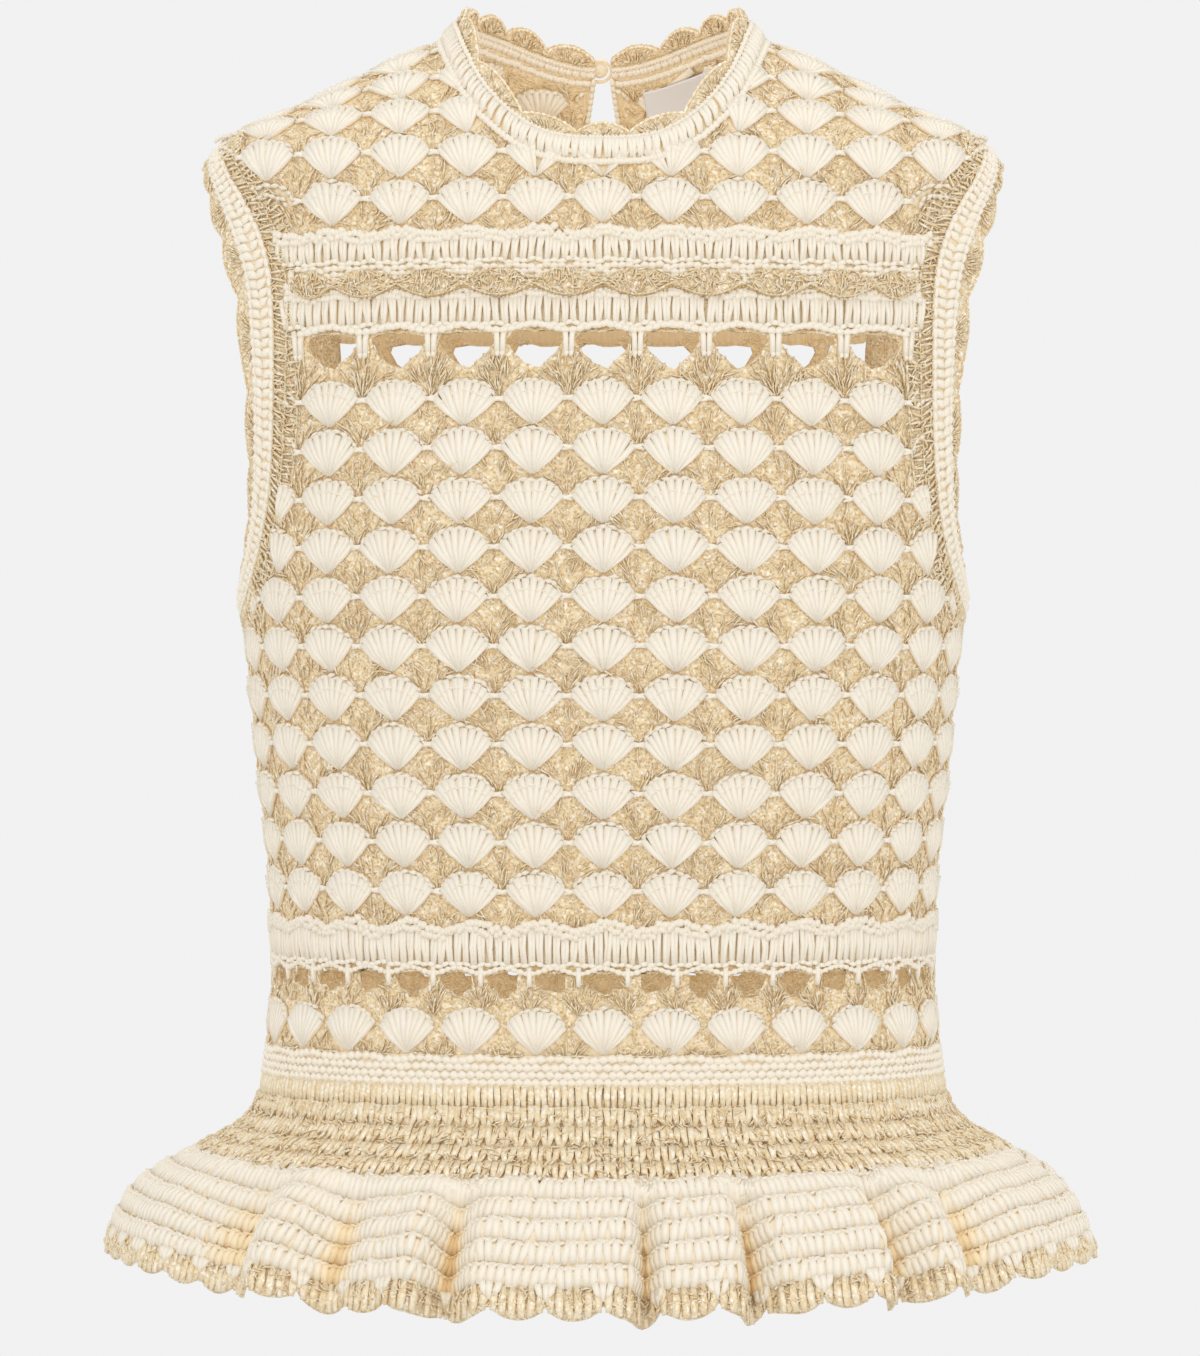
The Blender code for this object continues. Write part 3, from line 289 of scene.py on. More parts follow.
def cut_depth(points, side, slack=0.0):
    """How far inside any cut-out of a panel a point lies: neck, armholes, shoulder seam, slit and openings.

    At the armholes, whose trims lie over the panel's edge, a point may be a slack further in.
    """
    x, y, z = points[..., 0], points[..., 1], points[..., 2]
    k = np.where(y < NECK_CENTRE, NECK_SQUARENESS, 2.0)
    size = (abs(x / NECK_HALF_WIDTH) ** k + abs((y - NECK_CENTRE) / NECK_HALF_DEPTH) ** k) ** (1 / k)
    neck = (1 - size) * NECK_HALF_WIDTH
    neck = np.where(z > -110, neck, -99)
    middle, half = (ARMHOLE_TOP + ARMHOLE_BOTTOM) / 2, (ARMHOLE_TOP - ARMHOLE_BOTTOM) / 2
    k = ARMHOLE_SQUARENESS
    round_arm = ((abs(y) / ARMHOLE_HALF_DEPTH) ** k + (abs(z - middle) / half) ** k) ** (1 / k)
    arm = np.where(abs(x) > ARMHOLE_NEAREST, (1 - round_arm) * ARMHOLE_HALF_DEPTH - slack, -99)
    past = np.where(z > -72, 0.15 - side * y, -99)
    depth = np.maximum(np.maximum(neck, arm), np.maximum(past, hole_depth(points, side)))
    if side > 0:
        slit = np.interp(z, (KEYHOLE_WIDEST, KEYHOLE_STRAIGHT), (KEYHOLE_BELLY, KEYHOLE_NECK)) - abs(x)
        belly = 1 - np.sqrt((x / KEYHOLE_BELLY) ** 2 + ((z - KEYHOLE_WIDEST) / (KEYHOLE_WIDEST - KEYHOLE_BOTTOM)) ** 2)
        depth = np.maximum(depth, np.where(z > KEYHOLE_WIDEST, slit, belly * KEYHOLE_BELLY))
    return depth


# ---------------------------------------------------------------- meshes
def make_piece(name, points, polygons, finish, uv=None, marks=()):
    """Mesh from an array of points in millimetres and arrays of polygons with equally many corners each."""
    corners = np.concatenate([p.ravel() for p in polygons])
    sizes = np.concatenate([np.full(len(p), p.shape[1]) for p in polygons])
    mesh = bpy.data.meshes.new(name)
    mesh.vertices.add(len(points))
    mesh.vertices.foreach_set("co", (np.asarray(points) * MM).astype(np.float32).ravel())
    mesh.loops.add(len(corners))
    mesh.loops.foreach_set("vertex_index", corners.astype(np.int32))
    mesh.polygons.add(len(sizes))
    mesh.polygons.foreach_set("loop_start", np.concatenate(([0], np.cumsum(sizes)[:-1])).astype(np.int32))
    mesh.update(calc_edges=True)
    if uv is not None:
        mesh.uv_layers.new(name="UVMap").data.foreach_set("uv", uv[corners].astype(np.float32).ravel())
    for mark, values in marks:
        mesh.attributes.new(mark, "FLOAT", "POINT").data.foreach_set("value", values.astype(np.float32))
    mesh.materials.append(finish)
    mesh.shade_smooth()
    piece = bpy.data.objects.new(name, mesh)
    bpy.context.scene.collection.objects.link(piece)
    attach(piece, BODY)
    return piece


def thicken(piece, wall, offset=-1.0):
    """Give an open sheet its thickness, inwards from its own points."""
    change = piece.modifiers.new("wall", "SOLIDIFY")
    change.thickness = wall * MM
    change.offset = offset
    change.use_even_offset = False
    return piece


def grid_faces(rows, columns, ring=False, kept=None):
    """Quads between neighbouring rows and columns of a grid; kept marks the cells that hold cloth."""
    index = np.arange(rows * columns).reshape(rows, columns)
    if ring:
        index = np.concatenate((index, index[:, :1]), 1)
    quads = np.stack((index[:-1, :-1], index[:-1, 1:], index[1:, 1:], index[1:, :-1]), -1)
    return quads[kept] if kept is not None else quads.reshape(-1, 4)


class Yarn:
    """Many closed tubes of yarn that become one piece."""

    def __init__(self, seed):
        self.random = np.random.default_rng(seed)
        self.points, self.polygons, self.tones, self.sunk, self.count = [], {}, [], [], 0

    def lay(self, surface, u, v, lift, wide, high, sides=4, keep=None, added_shade=0.0):
        """Lay tubes on a surface along places u, v; every array is (tubes, rings).

        A ring's point is the centre, plus across times the half width times the angle's cosine, plus
        outwards times the half height times its sine. Across is outwards crossed with the way along.
        """
        u, v, lift, wide, high = (np.array(a, float) for a in np.broadcast_arrays(u, v, lift, wide, high))
        centres, outward = surface.at(u, v, lift)
        if keep is not None:
            kept = keep(centres)
            centres, outward, wide, high = centres[kept], outward[kept], wide[kept], high[kept]
        return self.tube(centres, outward, wide, high, sides, added_shade)

    def lump(self, surface, u, v, along, up, wide, high, lift, sides=4, keep=None, added_shade=0.0):
        """Lay short rounded lumps centred at u, v; along and up give half their length."""
        u, v, along, up, wide, high, lift = (np.asarray(a, float).ravel()[:, None] for a in
                                             np.broadcast_arrays(u, v, along, up, wide, high, lift))
        return self.lay(surface, u + along * LUMP_ALONG, v + up * LUMP_ALONG,
                        lift - 0.45 * high * abs(LUMP_ALONG), wide * LUMP_ROUND, high * LUMP_ROUND, sides, keep, added_shade)

    def tube(self, centres, outward, wide, high, sides=4, added_shade=0.0):
        """Add closed tubes along (tubes, rings) centres; see lay for the formula. The last argument deepens a tube's
        painted shade.
        """
        if not len(centres):
            return self
        forward = np.gradient(centres, axis=1)
        forward /= np.linalg.norm(forward, axis=2, keepdims=True)
        across = np.cross(outward, forward)
        across /= np.linalg.norm(across, axis=2, keepdims=True)
        out = np.cross(forward, across)
        angle = (np.arange(sides) + 0.5 * (sides == 4)) * 2 * pi / sides + pi / 2
        wide, high = (size * (FLAT_TOP if sides == 4 else 1.0) for size in (wide, high))
        points = (centres[:, :, None] + across[:, :, None] * (wide[..., None] * cos(angle))[..., None]
                  + out[:, :, None] * (high[..., None] * sin(angle))[..., None])
        tubes, rings = wide.shape
        index = self.count + np.arange(tubes * rings * sides).reshape(tubes, rings, sides)
        beside = np.roll(index, -1, 2)
        walls = np.stack((index[:, :-1], beside[:, :-1], beside[:, 1:], index[:, 1:]), -1).reshape(-1, 4)
        # painted shade: 0 on a tube's outer side, 1 on its underside, plus the added shade
        low = 0.5 - 0.5 * sin(angle) + np.zeros((tubes, rings, 1)) + np.reshape(added_shade, (-1, 1, 1))
        self.add(points.reshape(-1, 3), [walls, index[:, 0, ::-1], index[:, -1]],
                 np.repeat(self.random.random(tubes), rings * sides), low.ravel())
        return self

    def add(self, points, polygons, tones, sunk):
        """Add points and their polygons, which already count from this yarn's last point."""
        for faces in polygons:
            self.polygons.setdefault(faces.shape[1], []).append(faces)
        self.points.append(points)
        self.tones.append(tones)
        self.sunk.append(sunk)
        self.count += len(points)

    def make(self, name, finish, slot):
        """The piece that holds all tubes laid so far."""
        polygons = [np.concatenate(faces) for faces in self.polygons.values()]
        marks = (("tone", np.concatenate(self.tones)), ("sunk", np.concatenate(self.sunk)))
        return make_piece(name, np.concatenate(self.points), polygons, finish, marks=marks)


# ---------------------------------------------------------------- materials
class Value:
    """One output in a material. Arithmetic with numbers or other values adds Math nodes."""

    def __init__(self, finish, socket):
        self.finish, self.socket = finish, socket

    def math(self, operation, first, second=None, clamp=False):
        given = {0: first} if second is None else {0: first, 1: second}
        return self.finish.node("ShaderNodeMath", {"operation": operation, "use_clamp": clamp}, given)

    def __add__(self, other):
        return self.math("ADD", self, other)

    __radd__ = __add__

    def __sub__(self, other):
        return self.math("SUBTRACT", self, other)

    def __rsub__(self, other):
        return self.math("SUBTRACT", other, self)

    def __mul__(self, other):
        return self.math("MULTIPLY", self, other)

    __rmul__ = __mul__

    def __truediv__(self, other):
        return self.math("DIVIDE", self, other)

    def __pow__(self, other):
        return self.math("POWER", self, other)

    def size(self):
        return self.math("ABSOLUTE", self)

    def fraction(self):
        return self.math("FRACT", self)

    def clamped(self):
        return self.math("ADD", self, 0.0, clamp=True)

    def least(self, other):
        return self.math("MINIMUM", self, other)

    def most(self, other):
        return self.math("MAXIMUM", self, other)


class Finish:
    """A material in the making, on one Principled shader."""

    def __init__(self, name, **constants):
        self.material = bpy.data.materials.new(name)
        self.material.use_nodes = True
        self.tree = self.material.node_tree
        self.shader = self.tree.nodes["Principled BSDF"]
        for socket, value in constants.items():
            self.shader.inputs[socket.replace("_", " ")].default_value = value
        self.material.diffuse_color = (*constants.get("Base_Color", (0.8, 0.8, 0.8, 1))[:3], 1)

    def node(self, kind, settings=(), given=(), output=0):
        """Add a node: its settings first, then the values or links of its sockets. Gives one output."""
        made = self.tree.nodes.new(kind)
        for setting, value in dict(settings).items():
            if setting == "stops":
                ramp = made.color_ramp.elements
                while len(ramp) < len(value):
                    ramp.new(0.5)
                for stop, (position, colour) in zip(ramp, value):
                    stop.position, stop.color = position, (*colour, 1)
            else:
                setattr(made, setting, value)
        for socket, value in dict(given).items():
            if isinstance(value, Value):
                self.tree.links.new(value.socket, made.inputs[socket])
            else:
                made.inputs[socket].default_value = value
        return Value(self, made.outputs[output])

    def feed(self, socket, value):
        self.tree.links.new(value.socket, self.shader.inputs[socket])

    def mix(self, share, first, second):
        """Colour between two colours."""
        first, second = (c if isinstance(c, Value) else (*c, 1) for c in (first, second))
        return self.node("ShaderNodeMix", {"data_type": "RGBA"}, {0: share, 6: first, 7: second}, 2)

    def place(self):
        return self.node("ShaderNodeTexCoord", output="Object")

    def mark(self, name):
        return self.node("ShaderNodeAttribute", {"attribute_name": name}, output="Fac")

    def noise(self, scale, detail=2.0, where=None):
        return self.node("ShaderNodeTexNoise", (), {"Vector": where or self.place(), "Scale": scale, "Detail": detail})

    def bump(self, height, depth, strength=1.0):
        return self.node("ShaderNodeBump", (), {"Height": height, "Distance": depth, "Strength": strength})


# painted glow: a faint warm emission that stands in for light the threads pass on into their shadows
PAINTED_GLOW = {"Emission_Color": (1.0, 0.74, 0.42, 1), "Emission_Strength": 0.055}     # light that threads pass on
FAINT_PAINTED_GLOW = {**PAINTED_GLOW, "Emission_Strength": 0.02}
# CREAM_WARM is painted warm shade on the stitches' low sides and also a tone of the cream grounds; GOLD_DEEP to
# GOLD_PALE run from painted shade to painted light, mixed with random tone; GLINT is a painted highlight; SHADOW is
# painted shadow
CREAM_LIGHT = (0.890, 0.835, 0.735)
CREAM_MID = (0.895, 0.815, 0.665)
CREAM_WARM = (0.960, 0.760, 0.440)
GOLD_DEEP = (0.500, 0.330, 0.150)
GOLD_DARK = (0.730, 0.515, 0.260)
GOLD_MID = (0.850, 0.675, 0.415)
GOLD_PALE = (0.940, 0.825, 0.610)
GLINT = (1.000, 0.950, 0.830)
SHADOW = (0.680, 0.440, 0.200)


def cream_cotton():
    """Matt cotton: tone varies from stitch to stitch, its low sides get painted warm shade that deepens to painted
    shadow, and fine fibres are bumps.
    """
    made = Finish("cream_cotton_yarn", Base_Color=(*CREAM_LIGHT, 1), Roughness=0.9, Sheen_Weight=0.1, **PAINTED_GLOW,
                  Sheen_Roughness=0.5)
    tone, sunk = made.mark("tone"), made.mark("sunk")
    fibre = made.noise(1500.0, 3.0)
    drift = made.noise(45.0, 2.0)
    colour = made.mix((tone * 0.35 + drift * 0.4).clamped(), CREAM_LIGHT, CREAM_MID)
    # painted shade: warm on a stitch's low side, painted shadow where shade was added
    colour = made.mix((sunk * 1.2 - 0.5 + (fibre - 0.5) * 0.4).clamped(), colour, CREAM_WARM)
    colour = made.mix((sunk * 2.0 - 2.0).clamped(), colour, SHADOW)
    made.feed("Base Color", colour)
    made.feed("Normal", made.bump(fibre, 0.0004, 0.5))
    return made.material


def gold_strand(made, height, tone):
    """Colour and glint of metallic yarn: painted shade where it lies low and painted light on top, varied by random
    tone and flecks, and painted near-white glints in a few small cells.
    """
    cells = made.node("ShaderNodeTexVoronoi", {"feature": "F1"}, {"Vector": made.place(), "Scale": 1050.0},
                      output="Color")
    fleck = made.node("ShaderNodeSeparateColor", (), {0: cells}, 0)
    spark = made.node("ShaderNodeSeparateColor", (), {0: cells}, 1)
    stops = ((0.0, GOLD_DEEP), (0.3, GOLD_DARK), (0.6, GOLD_MID), (1.0, GOLD_PALE))
    colour = made.node("ShaderNodeValToRGB", {"stops": stops},
                       {0: (height * 0.75 + tone * 0.25 + fleck * 0.45 - 0.22).clamped()})
    glint = ((spark * 8.0 - 6.4).clamped() * (height + 0.25)).clamped()
    return made.mix(glint, colour, GLINT), glint


def gold_yarn():
    """Lurex yarn: pale and brown flecks, painted shade on its low sides, and painted near-white glints that are
    smoother than the rest.
    """
    made = Finish("gold_lurex_yarn", Base_Color=(*GOLD_MID, 1), Roughness=0.5, Metallic=0.1, **FAINT_PAINTED_GLOW)
    colour, glint = gold_strand(made, 1.0 - made.mark("sunk") * 0.75, made.mark("tone"))
    made.feed("Base Color", colour)
    made.feed("Roughness", 0.55 - glint * 0.3)
    made.feed("Normal", made.bump(made.noise(1300.0, 2.0), 0.0004, 0.5))
    return made.material


def panel_cloth():
    """Ground of the panels, on both faces: the fans' pattern from the UV map, with painted shadow in the gaps at their
    feet.

    U counts cream fans across and V counts cream rows, with a fan's centre at whole numbers. A fan's half
    width grows from its foot and closes in an arc at its top. The mark "band" is 1 in the tall rows, where
    the ground is tan, and -1 round the openings, where it is gold throughout. The inner face is where the
    normal points towards the top's upright axis; it gets painted warm light.
    """
    made = Finish("panel_ground", Base_Color=(*CREAM_MID, 1), Roughness=0.85, **PAINTED_GLOW)
    u = made.node("ShaderNodeSeparateXYZ", (), {0: made.node("ShaderNodeUVMap")}, 0)
    v = made.node("ShaderNodeSeparateXYZ", (), {0: made.node("ShaderNodeUVMap")}, 1)
    band = made.mark("band")
    aside = ((u + 0.5).fraction() - 0.5).size() * 2.0
    up = (v + 0.5).fraction() - 0.5
    grown = (up + 0.48) * 1.5
    closed = ((0.47 - up).most(0.0) ** 0.6) * 1.5
    width = grown.least(closed).least(0.86)
    fan = ((width - aside) * 9.0 + 0.5).clamped() * (band + 1.0).clamped()
    fibre = made.noise(900.0, 3.0)
    strands = threads(made)
    # painted shade between the gold strands, and painted glints
    gold, _ = gold_strand(made, strands, fibre)
    ribs = ((u * 10.0).fraction() - 0.5).size() * 2.0
    colour = made.mix(fan, gold, made.mix(ribs * 0.6 + fibre * 0.3, CREAM_MID, CREAM_WARM))
    # painted shadow in the gaps at the fans' feet
    foot = (1.0 - (aside * 5.0).most(((up.size() - 0.5).size()) * 12.0)).clamped()
    colour = made.mix(foot * (1.0 - band.size()), colour, SHADOW)
    colour = made.mix(band.clamped(), colour, made.mix(fibre, TAN, CREAM_MID))
    # painted warm light on the inner face, which faces the top's upright axis
    level = made.node("ShaderNodeVectorMath", {"operation": "MULTIPLY"}, {0: made.place(), 1: (1.0, 1.0, 0.0)})
    facing = made.node("ShaderNodeVectorMath", {"operation": "DOT_PRODUCT"},
                       {0: level, 1: made.node("ShaderNodeTexCoord", output="Normal")}, "Value")
    colour = made.mix((facing * -200.0).clamped() * 0.45, colour, INNER_PAINTED_LIGHT)
    made.feed("Base Color", colour)
    made.feed("Normal", made.bump((fan * ribs).most(strands * (1.0 - fan)) + fibre * 0.3, 0.0012, 0.6))
    return made.material


def ground(name, light, dark):
    """Plain ground under a trim: flecked between two tones."""
    made = Finish(name, Base_Color=(*light, 1), Roughness=0.8, **PAINTED_GLOW)
    fleck = made.noise(700.0, 3.0)
    made.feed("Base Color", made.mix(((fleck - 0.35) * 3.0).clamped(), dark, light))
    made.feed("Normal", made.bump(fleck, 0.0008, 0.7))
    return made.material


def puffy_cotton():
    """The ruffle's cotton: its creases and fold valleys get painted warm shade that deepens to painted shadow, and
    fibres and loops are bumps.
    """
    made = Finish("ruffle_cotton", Base_Color=(*CREAM_LIGHT, 1), Roughness=0.92, Sheen_Weight=0.1, **PAINTED_GLOW,
                  Sheen_Roughness=0.5)
    sunk = made.mark("sunk")
    fibre = made.noise(1100.0, 3.0)
    colour = made.mix(made.noise(30.0, 2.0), CREAM_LIGHT, CREAM_MID)
    # painted shade: warm in the creases, then painted shadow
    colour = made.mix((sunk * 1.1 - 0.15 + (fibre - 0.5) * 0.5).clamped(), colour, TAN)
    colour = made.mix((sunk * 1.6 - 1.6).clamped(), colour, SHADOW)
    made.feed("Base Color", colour)
    made.feed("Normal", made.bump(fibre, 0.0007, 0.7))
    return made.material


def white_satin():
    """Bare woven satin: fine upright threads and a soft gloss."""
    made = Finish("label_satin", Base_Color=(0.86, 0.87, 0.90, 1), Roughness=0.35, Coat_Weight=0.15)
    across = made.node("ShaderNodeSeparateXYZ", (), {0: made.place()}, 0)
    threads = ((across * 2500.0).fraction() - 0.5).size()
    made.feed("Base Color", made.mix(threads, (0.80, 0.81, 0.85), (0.90, 0.91, 0.93)))
    made.feed("Normal", made.bump(threads, 0.0002, 0.3))
    return made.material


# ---------------------------------------------------------------- panels
def row_places(step):
    """Even or odd columns of the panel: places u within its half width."""
    first = -FANS_PER_HALF + 1 if step else -FANS_PER_HALF
    return np.arange(first, FANS_PER_HALF + 1, 2.0)


def stitch_rows(cream):
    """Centres u, v of all cream fans, or of all gold ones but the row at the openings, on a panel."""
    places = []
    for k in range(1, YOKE_COURSES + 1, 2) if cream else range(0, YOKE_COURSES + 1, 2):
        u = row_places(not cream)
        u = u[abs(u) <= YOKE_COLUMNS] if k else u
        places.append((u * (1 + YOKE_SPREAD * k), np.full_like(u, k * COURSE + (2.6 if k == 0 else 0.0))))
    if cream:
        heights = [FIRST_FANS - 2 * k * COURSE for k in range(CREAM_ROWS)] + [-418.0]
    else:
        heights = [FIRST_FANS - (2 * k + 1) * COURSE for k in range(CREAM_ROWS)] + [-427.5]
    for height in heights:
        u = row_places(not cream)
        places.append((u, np.full_like(u, height - YOKE_LINE)))
    return np.concatenate([p[0] for p in places]), np.concatenate([p[1] for p in places])


def rim_place(q, share):
    """Place in a cream fan: q runs from -1 to 1 across it and share from its foot to its rim.

    Aside is the sine of q times 78 degrees, and the rim's height falls with one less its cosine.
    """
    lean = radians(78.0)
    aside = FAN_HALF * sin(q * lean) / sin(lean)
    up = FAN_TALL - FAN_DROP * (1 - cos(q * lean)) / (1 - cos(lean))
    return aside * share ** 0.85, FAN_FOOT + up * share


def lay_cream_fans(yarn, cloth, u0, v0, keep):
    """Posts that spread from each fan's foot to its rim, close beside each other, and knobs along the rim."""
    random = yarn.random
    fans = len(u0)
    q = np.linspace(-1, 1, CREAM_POSTS)
    share = np.array((0.02, 0.52, 0.97))
    aside, up = rim_place(q[:, None] * 0.97 + np.zeros(3), share)
    jitter = random.normal(0, 1, (2, fans, CREAM_POSTS, 1)) * share
    dome = np.sqrt(1 - 0.55 * q ** 2)[:, None]
    u = u0[:, None, None] + aside + jitter[0] * 0.018
    v = v0[:, None, None] + up + jitter[1] * 0.35
    lift = 0.5 + np.array((0.0, 1.55, 1.25)) * dome + random.normal(0, 0.10, (fans, CREAM_POSTS, 1))
    wide = np.array((0.5, 1.42, 1.65)) * (1 + random.normal(0, 0.06, (fans, CREAM_POSTS, 1)))
    shape = (fans * CREAM_POSTS, 3)
    wide, high = (np.broadcast_to(a, (fans, CREAM_POSTS, 3)).reshape(shape) for a in (wide, (0.5, 1.05, 1.10)))
    yarn.lay(cloth, u.reshape(shape), v.reshape(shape), lift.reshape(shape), wide, high, 4, keep)
    middle = (q[:-1] + q[1:]) / 2
    step = (q[1] - q[0]) * 0.58
    rows = np.round((v0 - v0.min()) / (2 * COURSE)).astype(int) % 2
    for share, lifted, thick, chosen in ((0.99, 1.9, 1.6, rows >= 0), (0.74, 2.5, 1.35, rows == 1)):
        here = np.flatnonzero(chosen)
        size = (len(here), len(middle))
        low_u, low_v = rim_place(middle - step, share)
        high_u, high_v = rim_place(middle + step, share)
        u = u0[here, None] + (low_u + high_u) / 2 + random.normal(0, 0.016, size)
        v = v0[here, None] + (low_v + high_v) / 2 + random.normal(0, 0.3, size)
        yarn.lump(cloth, u, v, (high_u - low_u) / 2, (high_v - low_v) / 2 + random.normal(0, 0.35, size), thick, 1.3,
                  lifted - 0.6 * middle ** 2 + random.normal(0, 0.12, size), 3, keep)


def lay_knots(yarn, cloth, u0, v0, keep):
    """Small cream knots between neighbouring fans: two short lumps that cross."""
    for slope in (-1, 1):
        yarn.lump(cloth, u0 + yarn.random.normal(0, 0.015, len(u0)), v0 + 1.2 + yarn.random.normal(0, 0.2, len(u0)),
                  0.17, slope * 0.9, 1.0, 0.8, 2.0, 4, keep)


def lay_gold_fans(yarn, cloth, u0, v0, keep, half=1.0, foot=-8.8, tall=17.5, drop=9.5, strands=GOLD_STRANDS):
    """Loose strands on each gold fan: near its foot they spread from it, further up they lie in all directions."""
    random = yarn.random
    shape = (len(u0), strands)
    q = random.uniform(-1, 1, shape)
    lean = q[..., None] * radians(80.0)
    start = random.uniform(0.0, 1.0, shape)[..., None] ** 0.7 * 0.86
    share = start + 0.20 * np.linspace(-0.4, 1, 3)
    share = np.clip(share, 0.03, 1.0)
    up = (tall - drop * (1 - cos(lean))) * share
    u = u0[:, None, None] + half * sin(lean) * share
    v = v0[:, None, None] + foot + up
    loose = np.clip(start * 1.6 - 0.35, 0, 1) * random.normal(0, 1, (2, *shape))[..., None] * np.array((-1, 0, 1))
    curl = random.normal(0, 0.5, shape)[..., None] * np.array((0.0, 1.0, 0.0))
    u, v = u + (loose[0] * 1.5 + curl) / HALF_FAN, v + loose[1] * 1.3
    lift = 0.5 + random.uniform(0.0, 1.3, shape)[..., None] + np.array((-0.3, 0.25, -0.3))
    flat = (-1, 3)
    thick = random.uniform(0.42, 0.66, shape)[..., None] * np.array((0.75, 1, 0.75))
    yarn.lay(cloth, u.reshape(flat), v.reshape(flat), lift.reshape(flat), thick.reshape(flat), thick.reshape(flat) * 0.95,
             3, keep)


def lay_band(yarn, cloth, low, high, wave, keep, posts=8, heads=2, foot=1.2):
    """A tall-stitch band between two heights: forked posts, looped heads along the top, lumps at the foot.

    wave is how far the heads rise at the even columns and fall at the odd ones. posts counts the stitches in
    one fan's width.
    """
    random = yarn.random
    count = FANS_PER_HALF * posts
    middle = ((np.arange(count) + 0.5) / posts * 2 - FANS_PER_HALF)[:, None]
    pitch = 2 / posts
    crest = wave * cos(pi * middle)
    share = np.array((0.0, 0.5, 1.0))
    top = high - 2.2 * heads + crest
    sway = random.normal(0, 0.045, (count, 1)) * pitch * 4
    for lean in (-1, 1):
        fork = np.array((0.10, 0.16, 0.25)) + random.normal(0, 0.07, (count, 3))
        aside = middle + sway * (share - 0.3) + lean * pitch * fork
        v = low + (top + 0.8 - low) * share + random.normal(0, 0.2, (count, 1))
        yarn.lay(cloth, aside, v - YOKE_LINE, (1.0, 1.8, 1.6) + random.normal(0, 0.2, (count, 1)), (0.95, 1.0, 1.1),
                 (0.8, 1.0, 0.9), 4, keep)
    for row in range(heads):
        for lean in (-1, 1):
            u = middle + pitch * (0.5 * (row % 2) + lean * 0.25) + random.normal(0, 0.02, (count, 1))
            v = top + 0.7 + 2.2 * row + random.normal(0, 0.5, (count, 1))
            yarn.lump(cloth, u, v - YOKE_LINE, pitch * 0.42, lean * random.uniform(0.0, 0.7, (count, 1)), 1.9, 1.5,
                      2.0, 4, keep)
    lay_cord(yarn, cloth, lambda u: low - YOKE_LINE + 0.5 * sin(5.3 * u) + 0.4 * sin(11.7 * u), foot, keep)


def lay_cord(yarn, cloth, v, thick, keep, lift=1.5, span=None, steps=None, sides=4, added_shade=0.0):
    """A chain of short slanted lumps along a line; v may be a number or a function of u."""
    span = span or (-FANS_PER_HALF, FANS_PER_HALF)
    steps = steps or int((span[1] - span[0]) * 4.5)
    step = (span[1] - span[0]) / steps
    u = np.linspace(*span, steps + 1)[:-1] + step / 2
    height = v(u) if callable(v) else np.full(u.shape, v)
    slope = ((v(u + step / 2) - v(u - step / 2)) * 0.65 if callable(v) else 0.0)
    yarn.lump(cloth, u, height, step * 0.65, slope, thick * yarn.random.uniform(0.85, 1.15, len(u)), thick * 0.9, lift,
              sides, keep, added_shade)


def panel(side, finishes):
    """One panel: its ground sheet with the openings, and the cream and gold yarn worked on it."""
    name = "front" if side < 0 else "back"
    cloth = panel_surface(side)
    rise = BACK_HOLE_RISE if side > 0 else 0.0

    def keep(centres):
        return (cut_depth(centres, side, 4.0) < 1.0).all(1) & (abs(centres[..., 0]).max(1) < 176)

    sheet = panel_sheet(side, cloth, name, finishes["panel"])
    cream, gold, bands = Yarn(3 + side), Yarn(13 + side), Yarn(23 + side)
    u0, v0 = stitch_rows(True)
    lay_pads(cream, cloth, u0, v0, keep)
    lay_cream_fans(cream, cloth, u0, v0, keep)
    u1, v1 = row_places(True), [FIRST_FANS - 2 * k * COURSE - YOKE_LINE for k in range(CREAM_ROWS)]
    v1 += [COURSE * k for k in range(1, YOKE_COURSES, 2)]
    lay_knots(cream, cloth, *(a.ravel() for a in np.meshgrid(u1, v1)), keep)
    lay_gold_fans(gold, cloth, *stitch_rows(False), keep)
    u2 = row_places(True)
    beyond = abs(u2) > CHEST_HOLES
    line = FIRST_FANS + COURSE + rise * 0.6 - YOKE_LINE
    lay_gold_fans(gold, cloth, u2[beyond], np.full(beyond.sum(), line), keep, strands=44, tall=23.5)
    lay_gold_fans(gold, cloth, u2[~beyond], np.full((~beyond).sum(), line), keep, tall=23.5, drop=16.0, strands=64)
    u3 = np.linspace(-1, 1, 2 * WAIST_HOLES + 1)[::2] * FANS_PER_HALF
    lay_gold_fans(gold, cloth, u3, np.full(u3.size, -403.2 - YOKE_LINE), keep, half=0.76, strands=36)
    lay_band(bands, cloth, -99.6, -85.9, 1.2, keep)
    lay_band(bands, cloth, -126.3 + rise, -108.2 + 0.5 * rise, 0.0, keep, heads=3)
    lay_band(bands, cloth, -390.6, -373.2, 1.6, keep)
    for height in (-102.0, -104.4, -106.8):
        lay_cord(bands, cloth, lambda u: height - YOKE_LINE + 0.5 * sin(6.1 * u + height) + 0.4 * sin(12.9 * u + height),
                 1.6, keep, lift=1.2)
    lay_edges(bands, cloth, rise, keep)
    if side > 0:
        inner = cloth.inside(0.8)
        u4, v4 = stitch_rows(True)
        places, _ = inner.at(u4, v4)
        near = (places[:, 2] > -62) & (abs(places[:, 0]) < 85)
        lay_pads(cream, inner, u4[near], v4[near], keep)
        lay_cream_fans(cream, inner, u4[near], v4[near], keep)
        u4, v4 = stitch_rows(False)
        places, _ = inner.at(u4, v4)
        near = (places[:, 2] > -62) & (abs(places[:, 0]) < 85)
        lay_gold_fans(gold, inner, u4[near], v4[near], keep)
        bind_keyhole(bands)
    made = [cream.make("cream_fans_" + name, finishes["cream"], "cream_cotton"),
            gold.make("gold_fans_" + name, finishes["gold"], "gold_yarn"),
            bands.make("cream_bands_" + name, finishes["cream"], "cream_cotton")]
    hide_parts(name + "_panel")


